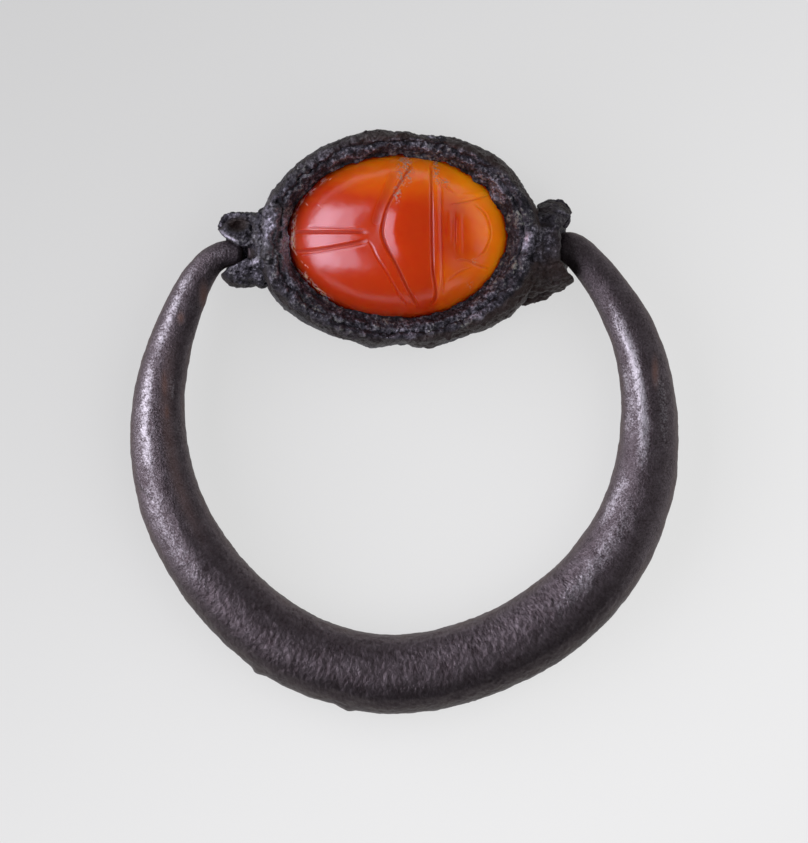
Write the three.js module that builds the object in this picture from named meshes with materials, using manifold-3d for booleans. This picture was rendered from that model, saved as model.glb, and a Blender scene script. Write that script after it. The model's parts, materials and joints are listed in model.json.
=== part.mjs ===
// A scarab swivel ring: a carnelian beetle seal in an oval silver setting, which turns end for end on the
// tapered tips of a crescent hoop. Millimetres, +Z up. The ring lies as on a table, beetle side up, the
// hoop towards -Y, with the origin under the middle of its box.
import * as THREE from "three";
import { mergeVertices } from "three/addons/utils/BufferGeometryUtils.js";
import Module from "manifold-3d";

const wasm = await Module();
wasm.setup();

// Driving sizes of the stone
const stoneLength = 11.56;
const stoneWidth = 8.66;
const plinthInset = 0.16;
const waistInset = 0.36;
const plinthHeight = 1.1;
const waistHeight = 1.9;
const girdleHeight = 2.8;
const domeRise = 4.2;
const headDrop = 0.26;
const clypeusRise = 0.22;

// Driving sizes of the setting
const lipBiteEnds = 0.3;
const lipBiteSides = 0.23;
const lipThickness = 0.42;
const pasteThickness = 0.3;
const collarWall = 0.22;
const frameEndWall = 1.02;
const frameSideWall = 0.65;
const frameShiftX = 0.1;
const frameShiftY = -0.1;
const frameRise = 0.21;
const backLipLift = 0.05;
const backLipThickness = 0.3;
const backLipBite = 0.22;

// Driving sizes of the swivel
const axisOffset = -0.6;
const wireDiameter = 0.76;
const rivetDiameter = 1.12;
const rivetThickness = 0.2;
const cups = {
  left_cup: {
    side: -1,
    length: 1.88,
    radius: 1.84,
    mouthRadius: 1.26,
    rim: 0.12,
    floor: 0.24,
    outsideShares: [[0, 0.97], [0.3, 1], [0.58, 0.985], [0.77, 0.93], [0.93, 0.8]],
    breakShares: [[1.3, 0.72], [1, 0.6], [0.68, 0.4], [0.39, 0.25], [0.04, 0.2]],
    wearShares: [[1.3, 0.72], [1, 0.6], [0.86, 0.46]],
  },
  right_cup: {
    side: 1,
    length: 1.52,
    radius: 2.36,
    mouthRadius: 1.75,
    rim: 0.3,
    floor: 0.24,
    outsideShares: [[0, 1], [0.35, 1], [0.6, 0.95], [0.85, 0.86]],
    breakShares: [[1.3, 0.8], [0.8, 0.6], [0.53, 0.36]],
    wearShares: [[1.3, 0.8], [0.97, 0.72], [0.76, 0.52]],
  },
};

// Driving sizes of the hoop
const hoopRadius = 12.56;
const hoopShift = 0.07;
const hoopEntry = 0.23;
const hoopThickness = 4.08;
const pinDiameter = 1.24;
const fullestAngle = THREE.MathUtils.degToRad(3);
const sag = { depth: 0.25, angle: THREE.MathUtils.degToRad(-12), spread: THREE.MathUtils.degToRad(24) };
const shoulders = {
  left: { side: -1, span: THREE.MathUtils.degToRad(30.5), reach: 0.5, neck: 1.36, thinning: 1.8 },
  right: { side: 1, span: THREE.MathUtils.degToRad(17.5), reach: 0.6, neck: 1.6, thinning: 1 },
};

// Clearances
const seatGap = 0.04;
const lipGap = 0.1;
const drillGap = 0.06;
const pinGap = 0.16;
const tipGap = 0.24;
const overrun = 1;

// Facets
const ovalSides = 56;
const roundSides = 28;
const hoopSides = 20;
const arcSteps = 34;
const bendSteps = 9;

// Outlines are ovals, each written as its half length, its half width and where its middle is.
const oval = (length, width) => ({ x: length / 2, y: width / 2, middleX: 0, middleY: 0 });
const grow = (o, end, side = end) => ({ ...o, x: o.x + end, y: o.y + side });
const move = (o, byX, byY) => ({ ...o, middleX: o.middleX + byX, middleY: o.middleY + byY });
const between = (a, b, share) => ({
  x: THREE.MathUtils.lerp(a.x, b.x, share),
  y: THREE.MathUtils.lerp(a.y, b.y, share),
  middleX: THREE.MathUtils.lerp(a.middleX, b.middleX, share),
  middleY: THREE.MathUtils.lerp(a.middleY, b.middleY, share),
});

const girdle = oval(stoneLength, stoneWidth);
const plinth = grow(girdle, -plinthInset);
const waist = grow(girdle, -waistInset);
const opening = grow(girdle, -lipBiteEnds, -lipBiteSides);
const backOpening = grow(plinth, -backLipBite);
const collarInner = grow(girdle, pasteThickness);
const collarOuter = grow(collarInner, collarWall);
const frameInner = grow(collarOuter, seatGap);
const frameOuter = move(grow(frameInner, frameEndWall, frameSideWall), frameShiftX, frameShiftY);

// Heights
const backLipTop = backLipLift + backLipThickness;
const baseHeight = backLipTop + seatGap;
const girdleLevel = baseHeight + girdleHeight;

// How high the stone stands at an oval outline, on its steeper line, with the lip's clearance
function lipUnderside(outline) {
  const share = Math.min(outline.x / girdle.x, outline.y / girdle.y, 1);
  return girdleLevel + domeRise * Math.sqrt(1 - share ** 2) + lipGap;
}

// The lip's section, as shares from the opening out to the collar's side, and from the lip's edge up
const lipShares = [[1, 0.67], [0.86, 1], [0.55, 1.12], [0.24, 0.83], [0.06, 0.5], [0, 0]];
const gripShares = [0.33, 0.75];
const highestShare = Math.max(...lipShares.map(([, up]) => up));
const frameHeight = lipUnderside(opening) + highestShare * lipThickness + frameRise;
const axisHeight = frameHeight / 2;

// How far out the swivel axis leaves the frame at one end
function frameEnd(side) {
  const across = (axisOffset - frameOuter.middleY) / frameOuter.y;
  return frameOuter.x * Math.sqrt(1 - across ** 2) + side * frameOuter.middleX;
}

const cupFloor = ({ side, floor }) => frameEnd(side) + floor;
const cupMouth = ({ side, length }) => frameEnd(side) + length;

// The hoop's round crosses the swivel axis a little inside the mouths of the cups.
const crossing = (cupMouth(cups.left_cup) + cupMouth(cups.right_cup)) / 2 - hoopEntry;
const hoopDrop = Math.sqrt(hoopRadius ** 2 - crossing ** 2);
const crossingAngle = Math.PI - Math.asin(crossing / hoopRadius);

// A closed mesh turned into a solid for joining and cutting, and back again.
function solid(geometry) {
  const bare = geometry.clone();
  bare.deleteAttribute("normal");
  bare.deleteAttribute("uv");
  const merged = mergeVertices(bare);
  return new wasm.Manifold(
    new wasm.Mesh({
      numProp: 3,
      vertProperties: merged.attributes.position.array,
      triVerts: new Uint32Array(merged.index.array),
    }),
  );
}

function geometryOf(made) {
  const mesh = made.getMesh();
  const geometry = new THREE.BufferGeometry();
  geometry.setAttribute("position", new THREE.BufferAttribute(mesh.vertProperties, mesh.numProp));
  geometry.setIndex(new THREE.BufferAttribute(mesh.triVerts, 1));
  const flat = geometry.toNonIndexed();
  flat.computeVertexNormals();
  return flat;
}

// A skin over rings of equally many points. Joined end to end it is a closed band, and otherwise each end
// is capped with a fan round its middle.
function loft(rings, endless) {
  const count = rings[0].length;
  const points = rings.flat();
  const faces = [];
  const spans = endless ? rings.length : rings.length - 1;
  for (let i = 0; i < spans; i++) {
    for (let j = 0; j < count; j++) {
      const a = i * count + j;
      const b = i * count + ((j + 1) % count);
      const c = ((i + 1) % rings.length) * count + ((j + 1) % count);
      const d = ((i + 1) % rings.length) * count + j;
      faces.push(a, b, c, a, c, d);
    }
  }
  if (!endless) {
    for (const [first, turned] of [[0, true], [(rings.length - 1) * count, false]]) {
      const middle = new THREE.Vector3();
      for (let j = 0; j < count; j++) middle.addScaledVector(points[first + j], 1 / count);
      points.push(middle);
      for (let j = 0; j < count; j++) {
        const a = first + j;
        const b = first + ((j + 1) % count);
        faces.push(points.length - 1, turned ? b : a, turned ? a : b);
      }
    }
  }
  const geometry = new THREE.BufferGeometry().setFromPoints(points);
  geometry.setIndex(faces);
  return geometry;
}

// One level ring of an oval outline
function ovalRing(outline, height) {
  return Array.from({ length: ovalSides }, (_, j) => {
    const turn = (2 * Math.PI * j) / ovalSides;
    const x = outline.middleX + outline.x * Math.cos(turn);
    return new THREE.Vector3(x, outline.middleY + outline.y * Math.sin(turn), height);
  });
}

// A band whose section is a closed profile of [outline, height] points, walked outside first, upwards
const band = (profile) => loft(profile.map(([outline, height]) => ovalRing(outline, height)), true);

// A cylinder along the swivel axis, from the middle of the setting outwards both ways
function axisBar(radius, halfLength) {
  const bar = new THREE.CylinderGeometry(radius, radius, 2 * halfLength, roundSides);
  bar.rotateZ(Math.PI / 2);
  bar.translate(0, axisOffset, axisHeight);
  return bar;
}

const wireDrill = solid(axisBar(wireDiameter / 2 + drillGap, frameOuter.x + overrun));
const drilled = (geometry) => solid(geometry).subtract(wireDrill);

// The back of the stone: half an ellipsoid, lower over the head, with the round clypeus raised on it.
const headStartShare = 0.33;
const headEndShare = 0.6;
const clypeusShares = [0.69, 0.02];
const clypeusSizeShare = 0.19;

function backHeight(x, y) {
  const fromMiddle = Math.min(1, (x / girdle.x) ** 2 + (y / girdle.y) ** 2);
  const dome = domeRise * Math.sqrt(1 - fromMiddle);
  const inside = 1 - fromMiddle ** 3;
  const head = THREE.MathUtils.smoothstep(x / girdle.x, headStartShare, headEndShare);
  const toClypeus = Math.hypot(x / girdle.x - clypeusShares[0], (y / girdle.y - clypeusShares[1]) / 1.4);
  const clypeus = Math.exp(-((toClypeus / clypeusSizeShare) ** 4));
  return girdleLevel + dome + inside * (clypeusRise * clypeus - headDrop * head);
}

// Engraved lines of the beetle, as points in shares of the stone's half length and half width
const strongLine = { width: 0.3, depth: 0.17 };
const fineLine = { width: 0.18, depth: 0.1 };
const lineRise = 0.25;
const lineStep = 0.45;
const engraving = [
  // The paired lines where the wing cases meet
  { ...fineLine, shares: [[-0.806, 0.132], [-0.514, 0.107], [-0.267, 0.077]] },
  { ...strongLine, shares: [[-0.93, 0.076], [-0.604, 0.062], [-0.267, 0.048]] },
  { ...strongLine, shares: [[-0.915, -0.161], [-0.606, -0.121], [-0.269, -0.047]] },
  { ...fineLine, shares: [[-0.895, -0.208], [-0.607, -0.162], [-0.269, -0.09]] },
  // The bent double line between the wing cases and the thorax
  {
    ...fineLine,
    shares: [
      [0.001, 0.9], [-0.027, 0.763], [-0.093, 0.516], [-0.157, 0.317], [-0.208, 0.16], [-0.235, 0.02],
      [-0.231, -0.094], [-0.192, -0.238], [-0.106, -0.429], [-0.02, -0.644], [0.074, -0.85],
    ],
  },
  {
    ...strongLine,
    shares: [
      [0.143, 0.865], [0.061, 0.702], [-0.013, 0.538], [-0.086, 0.351], [-0.128, 0.175], [-0.14, 0.03],
      [-0.11, -0.11], [-0.016, -0.36], [0.077, -0.634], [0.164, -0.845],
    ],
  },
  // The line behind the head, which turns in under the thorax, and the finer one beside it
  {
    ...strongLine,
    shares: [
      [0.302, 0.84], [0.297, 0.223], [0.298, -0.368], [0.321, -0.64], [0.31, -0.76], [0.26, -0.83],
    ],
  },
  { ...fineLine, shares: [[0.38, 0.7], [0.366, 0.068], [0.37, -0.7]] },
  // The bars across the head
  { ...fineLine, shares: [[0.457, 0.266], [0.452, -0.088]] },
  { ...fineLine, shares: [[0.545, 0.205], [0.543, -0.197]] },
  // The outline of the clypeus and the lines of the legs that run out from it
  {
    ...strongLine,
    shares: [
      [0.676, 0.367], [0.763, 0.259], [0.805, 0.128], [0.815, -0.023], [0.765, -0.179], [0.685, -0.29],
    ],
  },
  { ...strongLine, shares: [[0.448, 0.349], [0.641, 0.404], [0.828, 0.476]] },
  { ...fineLine, shares: [[0.472, -0.284], [0.602, -0.302], [0.674, -0.354], [0.807, -0.404]] },
  { ...strongLine, shares: [[0.66, -0.37], [0.541, -0.431], [0.425, -0.536]] },
  { ...strongLine, shares: [[0.37, 0.659], [0.431, 0.574], [0.509, 0.478]] },
];

// The tool that cuts one line: a three-sided bar that follows the back and bites into it by its depth.
function lineCutter({ width, depth, shares }) {
  const curve = new THREE.SplineCurve(shares.map(([x, y]) => new THREE.Vector2(x * girdle.x, y * girdle.y)));
  const steps = Math.max(2, Math.round(curve.getLength() / lineStep));
  const widen = (depth + lineRise) / depth;
  const rings = curve.getSpacedPoints(steps).map((p, i) => {
    const along = curve.getTangentAt(i / steps);
    const top = backHeight(p.x, p.y);
    const across = new THREE.Vector3(-along.y, along.x, 0).multiplyScalar((width / 2) * widen);
    const middle = new THREE.Vector3(p.x, p.y, top + lineRise);
    return [middle.clone().sub(across), new THREE.Vector3(p.x, p.y, top - depth), middle.clone().add(across)];
  });
  return solid(loft(rings, false));
}

function scarab() {
  const domeShares = [0.985, 0.95, 0.9, 0.84, 0.76, 0.66, 0.55, 0.42, 0.28, 0.14];
  const rings = [
    ovalRing(plinth, baseHeight),
    ovalRing(plinth, baseHeight + plinthHeight),
    ovalRing(waist, baseHeight + plinthHeight),
    ovalRing(waist, baseHeight + waistHeight),
    ovalRing(girdle, girdleLevel),
  ];
  for (const share of domeShares) {
    rings.push(ovalRing({ ...girdle, x: girdle.x * share, y: girdle.y * share }, 0));
    for (const point of rings.at(-1)) point.z = backHeight(point.x, point.y);
  }
  let stone = drilled(loft(rings, false));
  for (const line of engraving) stone = stone.subtract(lineCutter(line));
  return geometryOf(stone);
}

// The paste that beds the stone: a sleeve between its lower half and the collar
function beddingPaste() {
  const outer = grow(collarInner, -seatGap);
  const foot = baseHeight;
  const shoulder = baseHeight + plinthHeight + seatGap;
  return geometryOf(
    drilled(
      band([
        [grow(plinth, seatGap), foot],
        [outer, foot],
        [outer, girdleLevel],
        [grow(girdle, seatGap), girdleLevel],
        [grow(waist, seatGap), baseHeight + waistHeight - seatGap],
        [grow(waist, seatGap), shoulder],
        [grow(plinth, seatGap), shoulder],
      ]),
    ),
  );
}

// The collar: a thin strip round the stone, with its front edge pressed down over it as a lip.
function settingCollar() {
  const edge = lipUnderside(opening);
  const top = lipShares.map(([out, up]) => [between(opening, collarOuter, out), edge + up * lipThickness]);
  const grip = gripShares.map((share) => between(opening, girdle, share));
  return geometryOf(
    drilled(
      band([
        [collarInner, backLipLift],
        [collarOuter, backLipLift],
        ...top,
        ...grip.map((outline) => [outline, lipUnderside(outline)]),
        [collarInner, lipUnderside(grip.at(-1))],
      ]),
    ),
  );
}

// The flat strip that closes the setting behind, round the base of the stone
function backLip() {
  const outer = grow(collarInner, -seatGap);
  return geometryOf(
    solid(
      band([
        [grow(backOpening, backLipThickness / 2), backLipLift],
        [outer, backLipLift],
        [outer, backLipTop],
        [backOpening, backLipTop],
        [backOpening, backLipLift + backLipThickness / 2],
      ]),
    ),
  );
}

// The heavy outer frame, barrel shaped outside, as [share of its wall, share of its height]
const frameShares = [
  [0, 0], [0.74, 0], [0.93, 0.06], [1, 0.26], [1, 0.6], [0.93, 0.82], [0.72, 0.95], [0.42, 1],
  [0.12, 0.985], [0, 0.94],
];
const frameLevels = frameShares.map(([across, up]) => [
  between(frameInner, frameOuter, across),
  up * frameHeight,
]);
const outerFrame = () => geometryOf(drilled(band(frameLevels)));

// The frame's outer shape as a full body, a seat gap larger, which the cups are fitted to
function frameBody() {
  const outside = frameLevels.slice(1, 8);
  const rings = outside.map(([outline, height]) => ovalRing(grow(outline, seatGap), height));
  rings.unshift(ovalRing(grow(outside[0][0], seatGap), -seatGap));
  rings.push(ovalRing(outside.at(-1)[0], frameHeight + seatGap));
  return solid(loft(rings, false));
}

const boreRadius = pinDiameter / 2 + pinGap;

// A cup at one end of the frame, which takes the tip of the hoop: a turned bead, hollow from its mouth.
// Its mouth is worn away where the hoop leaves it, and broken open further in at the front.
const boreStartShare = 0.42;

function cup({ side, length, radius, mouthRadius, rim, floor, outsideShares, breakShares, wearShares }) {
  const end = frameEnd(side);
  const sunk = end - frameInner.x;
  const profile = [
    [0, -sunk],
    [outsideShares[0][1] * radius, -sunk],
    ...outsideShares.map(([along, out]) => [out * radius, along * length]),
    [mouthRadius, length],
    [mouthRadius - rim, length],
    [boreRadius, length * boreStartShare],
    [boreRadius, floor],
    [0, floor],
  ];
  const turned = new THREE.LatheGeometry(profile.map(([r, u]) => new THREE.Vector2(r, u)), roundSides);
  turned.rotateZ(-Math.PI / 2);
  const depth = radius + overrun;
  const slot = (shares, through) => {
    const shape = new THREE.Shape(shares.map(([u, r]) => new THREE.Vector2(u * length, r * radius)));
    for (const [u, r] of [...shares].reverse()) shape.lineTo(u * length, -r * radius);
    const back = through ? depth : 0;
    const tool = new THREE.ExtrudeGeometry(shape, { depth: depth + back, bevelEnabled: false });
    return tool.translate(0, 0, -back);
  };
  const placed = (geometry) => {
    if (side < 0) geometry.rotateZ(Math.PI);
    return solid(geometry.translate(side * end, axisOffset, axisHeight));
  };
  return geometryOf(
    placed(turned)
      .subtract(placed(slot(breakShares, false)))
      .subtract(placed(slot(wearShares, true)))
      .subtract(frameBody())
      .subtract(wireDrill),
  );
}


// The wire through the stone, its ends spread into rivets on the floors of the cups
function stoneWire() {
  const end = (cupSizes) => {
    const { side } = cupSizes;
    const seat = cupFloor(cupSizes) + seatGap;
    return [
      [wireDiameter / 2, side * seat],
      [rivetDiameter / 2, side * seat],
      [rivetDiameter / 2, side * (seat + rivetThickness / 2)],
      [rivetDiameter / 3, side * (seat + rivetThickness)],
      [0, side * (seat + rivetThickness)],
    ];
  };
  const profile = [...end(cups.left_cup).reverse(), ...end(cups.right_cup)];
  const wire = new THREE.LatheGeometry(profile.map(([r, u]) => new THREE.Vector2(r, u)), roundSides);
  wire.rotateZ(-Math.PI / 2);
  wire.translate(0, axisOffset, axisHeight);
  return geometryOf(solid(wire));
}

// The hoop's middle line, in its own plane with the swivel axis along x: a round that sags a little where
// it was bent, and at each end a bend that brings it onto the axis. Each station has a place and a radius.
const noseShares = [[0.25, 1], [0.7, 1], [0.92, 0.78], [1, 0.4]];

function hoopStations() {
  const barRadius = (angle) => (hoopThickness / 2) * Math.cos((angle - fullestAngle) / 2);
  const arcPoint = (angle) => {
    const out = hoopRadius + sag.depth * Math.exp(-(((angle - sag.angle) / sag.spread) ** 2));
    return new THREE.Vector2(hoopShift + out * Math.sin(angle), -hoopDrop - out * Math.cos(angle));
  };
  const bend = ({ side, span, reach, neck, thinning }, cupSizes) => {
    const angle = crossingAngle - span;
    const start = arcPoint(side * angle);
    const corner = new THREE.Vector2(start.x - (side * start.y) / Math.tan(angle), 0);
    const end = new THREE.Vector2(side * (cupMouth(cupSizes) - reach), 0);
    const curve = new THREE.QuadraticBezierCurve(start, corner, end);
    const stations = [];
    for (let i = 1; i <= bendSteps; i++) {
      const t = i / bendSteps;
      const radius = THREE.MathUtils.lerp(neck / 2, barRadius(side * angle), (1 - t) ** thinning);
      stations.push({ at: curve.getPoint(t), radius });
    }
    const tip = side * (cupFloor(cupSizes) + seatGap + rivetThickness + tipGap);
    const neckEnd = stations.at(-1).at.x;
    for (const [go, wide] of noseShares) {
      const at = new THREE.Vector2(THREE.MathUtils.lerp(neckEnd, tip, go), 0);
      stations.push({ at, radius: (wide * pinDiameter) / 2 });
    }
    return stations;
  };
  const arc = [];
  const first = shoulders.left.span - crossingAngle;
  const last = crossingAngle - shoulders.right.span;
  for (let i = 0; i <= arcSteps; i++) {
    const angle = THREE.MathUtils.lerp(first, last, i / arcSteps);
    arc.push({ at: arcPoint(angle), radius: barRadius(angle) });
  }
  return [...bend(shoulders.left, cups.left_cup).reverse(), ...arc, ...bend(shoulders.right, cups.right_cup)];
}

function hoop() {
  const stations = hoopStations();
  const rings = stations.map(({ at, radius }, i) => {
    const before = stations[Math.max(0, i - 1)].at;
    const after = stations[Math.min(stations.length - 1, i + 1)].at;
    const along = after.clone().sub(before).normalize();
    return Array.from({ length: hoopSides }, (_, j) => {
      const turn = (2 * Math.PI * j) / hoopSides;
      const out = radius * Math.cos(turn);
      return new THREE.Vector3(at.x - along.y * out, at.y + along.x * out, radius * Math.sin(turn));
    });
  });
  return geometryOf(solid(loft(rings, false)));
}

const finish = (color, roughness, metalness) =>
  new THREE.MeshStandardMaterial({ color, roughness, metalness });
const carnelian = finish(0xc8421a, 0.25, 0);
const wornSilver = finish(0x4a454b, 0.5, 0.8);
const crustedSilver = finish(0x37333a, 0.8, 0.5);
const paste = finish(0x4b3f33, 0.9, 0);

function piece(name, geometry, material) {
  const mesh = new THREE.Mesh(geometry, material);
  mesh.name = name;
  return mesh;
}

// The foot of the hoop lies this far from the axis, and it drops until it meets the table.
const hoopReach = hoopDrop + hoopRadius + sag.depth * Math.exp(-((sag.angle / sag.spread) ** 2));
const hoopDip = Math.asin((axisHeight - hoopThickness / 2) / hoopReach);

const setting = new THREE.Group();
setting.add(
  piece("scarab", scarab(), carnelian),
  piece("bedding_paste", beddingPaste(), paste),
  piece("setting_collar", settingCollar(), crustedSilver),
  piece("back_lip", backLip(), crustedSilver),
  piece("outer_frame", outerFrame(), crustedSilver),
  piece("stone_wire", stoneWire(), wornSilver),
);
for (const [name, sizes] of Object.entries(cups)) setting.add(piece(name, cup(sizes), crustedSilver));

const swing = new THREE.Group();
swing.add(piece("hoop", hoop(), wornSilver));
swing.position.set(0, axisOffset, axisHeight);
swing.rotation.x = hoopDip;

// The box runs from the hoop's foot to the frame's far side, and the origin is under its middle.
const hoopFoot = axisOffset - hoopReach * Math.cos(hoopDip) - hoopThickness / 2;
const frameFarSide = frameOuter.y + frameOuter.middleY;
const ring = new THREE.Group();
ring.add(setting, swing);
ring.position.set(-hoopShift, -(frameFarSide + hoopFoot) / 2, 0);

export default ring;
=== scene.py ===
# %% [markdown]
# # A scarab swivel ring
# An ancient finger ring: a beetle cut from carnelian sits in a heavy oval silver setting, and the setting
# turns end for end on the tips of a thick crescent hoop. The silver has lain in the ground and is black,
# pitted and crusted, while the stone is still clear and polished.
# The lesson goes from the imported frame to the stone, the setting, the two cups, the hoop, the finishes, and
# last to the floor, the light and the camera.

# %% Load the frame
import json
import math

import bpy
import numpy as np
from mathutils import Matrix, Vector, noise


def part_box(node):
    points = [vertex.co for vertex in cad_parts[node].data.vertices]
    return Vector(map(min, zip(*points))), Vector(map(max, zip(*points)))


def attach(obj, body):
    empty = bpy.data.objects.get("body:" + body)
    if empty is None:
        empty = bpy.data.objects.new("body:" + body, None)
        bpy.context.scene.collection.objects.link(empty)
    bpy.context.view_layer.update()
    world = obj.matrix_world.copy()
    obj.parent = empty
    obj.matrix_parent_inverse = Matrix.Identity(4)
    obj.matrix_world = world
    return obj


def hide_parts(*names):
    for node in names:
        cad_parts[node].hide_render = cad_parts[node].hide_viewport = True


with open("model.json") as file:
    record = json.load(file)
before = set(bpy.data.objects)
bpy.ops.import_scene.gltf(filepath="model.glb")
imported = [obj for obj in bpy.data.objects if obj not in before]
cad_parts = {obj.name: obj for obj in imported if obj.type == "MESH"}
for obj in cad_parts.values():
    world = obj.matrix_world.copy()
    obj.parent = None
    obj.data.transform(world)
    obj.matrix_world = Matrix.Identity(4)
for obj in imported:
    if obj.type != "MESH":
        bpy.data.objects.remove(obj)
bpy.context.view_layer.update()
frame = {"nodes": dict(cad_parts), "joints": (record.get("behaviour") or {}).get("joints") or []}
print("nodes:", sorted(frame["nodes"]))

# %% [markdown]
# ## The bench
# The ring is 28 mm wide. Some tools, such as the voxel remesh, can't work finer than a tenth of a millimetre
# when a metre is the unit. So each piece is worked on a bench where one unit is a millimetre, and it is
# shrunk to metres when it is done. Everything is deselected before each step, because an operator acts on
# all that is selected.

# %% Bench tools
MM = 0.001


def take(*pieces):
    """Leaves edit mode and selects only these pieces, the last of them active"""
    if bpy.context.object and bpy.context.object.mode != "OBJECT":
        bpy.ops.object.mode_set(mode="OBJECT")
    bpy.ops.object.select_all(action="DESELECT")
    for piece in pieces:
        piece.select_set(True)
        bpy.context.view_layer.objects.active = piece


def bench_copy(node, name):
    """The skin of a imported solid, its loose triangles merged, on the bench in millimetres"""
    mesh = frame["nodes"][node].data.copy()
    mesh.transform(Matrix.Scale(1 / MM, 4))
    piece = bpy.data.objects.new(name, mesh)
    bpy.context.collection.objects.link(piece)
    take(piece)
    bpy.ops.object.mode_set(mode="EDIT")
    bpy.ops.mesh.select_all(action="SELECT")
    bpy.ops.mesh.remove_doubles(threshold=0.002)
    bpy.ops.object.mode_set(mode="OBJECT")
    return piece


def work(piece, kind, **settings):
    """Adds one modifier and applies it at once"""
    take(piece)
    modifier = piece.modifiers.new(kind.lower(), kind)
    for key, value in settings.items():
        setattr(modifier, key, value)
    bpy.ops.object.modifier_apply(modifier=modifier.name)


def points_of(piece):
    places = np.empty(len(piece.data.vertices) * 3)
    piece.data.vertices.foreach_get("co", places)
    return places.reshape(-1, 3)


def normals_of(piece):
    normals = np.empty(len(piece.data.vertices) * 3, np.float32)
    piece.data.vertex_normals.foreach_get("vector", normals)
    return normals.reshape(-1, 3).astype(float)


def move_points(piece, places):
    piece.data.vertices.foreach_set("co", places.astype(np.float32).ravel())
    piece.data.update()


def paint(piece, name, values):
    """Keeps one number from 0 to 1 at each point of a piece, for its material to read"""
    layer = piece.data.attributes.get(name) or piece.data.attributes.new(name, "FLOAT", "POINT")
    layer.data.foreach_set("value", np.clip(values, 0, 1).astype(np.float32))


def triangles(piece):
    return len(piece.data.loops) - 2 * len(piece.data.polygons)


print("bench unit:", MM, "m")

# %% [markdown]
# ## Places on the ring
# Places are read off a picture of the ring from straight above, 808 pixels wide, where a pixel is 0.0512 mm.
# In it the swivel axis slopes by one degree. One function turns such a place into millimetres on the bench.

# %% Picture to bench
pivot = [value / MM for value in frame["joints"][0]["pos_m"]]
pixel = 0.05117
slope = math.atan2(6, 322)
axis_pixel = (398.5, 249.0)


def spot(x, y):
    """A place of the picture in millimetres on the bench"""
    right, down = x - axis_pixel[0], y - axis_pixel[1]
    along = pixel * (right * math.cos(slope) - down * math.sin(slope))
    across = -pixel * (right * math.sin(slope) + down * math.cos(slope))
    return along + pivot[0], across + pivot[1]


def smoothstep(low, high, values):
    share = np.clip((values - low) / (high - low), 0, 1)
    return share * share * (3 - 2 * share)


def near(places, centre, reach):
    """1 at a place, falling smoothly to 0 at its reach; a reach of two or three numbers is an oval one"""
    centre, reach = np.array(centre, float), np.array(reach, float)
    gap = np.linalg.norm((places[:, : len(centre)] - centre) / reach, axis=1)
    return (1 - np.clip(gap, 0, 1) ** 2) ** 2


def speckle(places, grain, seed, octaves=3):
    """Soft random values from 0 to 1, in grains of that many millimetres"""
    shift = Vector((seed * 17.3, seed * 5.1, -seed * 9.7))
    values = [noise.fractal(Vector(p) / grain + shift, 1.0, 2.0, octaves) for p in places]
    return np.clip(0.5 + 0.5 * np.array(values), 0, 1)


print("swivel axis at", [round(v, 2) for v in pivot], "mm")

# %% [markdown]
# ## The scarab
# The stone is a carnelian pebble ground to a beetle: half an egg on a waisted foot, its back cut with a small
# wheel that leaves soft furrows. An icosphere makes the egg, because its triangles are even all over and
# take fine furrows anywhere. It is cut in half, its rim is extruded down into the waist and foot, and then
# the furrows are pressed in along drawn lines, which no modifier can follow.

# %% Stone blank
low, high = (Vector(corner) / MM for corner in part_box("scarab"))
stone_middle = ((low.x + high.x) / 2, (low.y + high.y) / 2)
stone_reach = ((high.x - low.x) / 2, (high.y - low.y) / 2)
girdle_level = low.z + 2.8
dome_rise, cut_height, waist_inset = 4.12, 0.02, 0.36

bpy.ops.object.select_all(action="DESELECT")
bpy.ops.mesh.primitive_ico_sphere_add(subdivisions=7, radius=1, location=(0, 0, 0))
stone = bpy.context.object
stone.name = "scarab_carved"
bpy.ops.object.mode_set(mode="EDIT")
bpy.ops.mesh.select_all(action="SELECT")
bpy.ops.transform.resize(value=(*stone_reach, dome_rise), center_override=(0, 0, 0))
bpy.ops.mesh.bisect(plane_co=(0, 0, cut_height), plane_no=(0, 0, 1), clear_inner=True)
waist_share = (stone_reach[0] - waist_inset) / stone_reach[0]
# From the girdle down, what each step leaves of the rim's size, and how far it goes down: in to the waist,
# down along it, out to the foot, a narrow edge, the side of the foot, and its base, slightly rounded off
foot_steps = [(waist_share, -0.9), (1, -0.8), (1.037, 0), (1, -0.03), (1, -1.02), (0.992, -0.05)]
for share, step in foot_steps:
    bpy.ops.mesh.extrude_edges_move(TRANSFORM_OT_translate={"value": (0, 0, step)})
    bpy.ops.transform.resize(value=(share, share, 1), center_override=(0, 0, 0))
bpy.ops.mesh.edge_face_add()
bpy.ops.object.mode_set(mode="OBJECT")
places = points_of(stone)
places[:, 2] += girdle_level - cut_height
move_points(stone, places)
print("stone blank:", len(stone.data.polygons), "faces, foot at", round(float(places[:, 2].min()), 2))

# %% [markdown]
# ## Lines on the ring
# Much on this ring follows a line: the furrows of the beetle, scratches, torn edges and worn streaks. A line is
# a few points with a smooth curve through them, and each place is measured against it. Where a line needs
# finer detail than the rest of a skin, only the faces beside it are cut in four.

# %% Drawn lines
def drawn(points, step=0.03):
    """A smooth curve through points, as many close places"""
    p = np.array([2 * np.array(points[0]) - points[1], *points, 2 * np.array(points[-1]) - points[-2]])
    out = []
    for a, b, c, d in zip(p, p[1:], p[2:], p[3:]):
        count = max(2, int(np.linalg.norm(c - b) / step))
        t = np.linspace(0, 1, count, endpoint=False)[:, None]
        out.append(0.5 * (2 * b + (c - a) * t + (2 * a - 5 * b + 4 * c - d) * t**2
                          + (3 * b - a - 3 * c + d) * t**3))
    return np.vstack([*out, p[-2:-1]])


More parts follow.
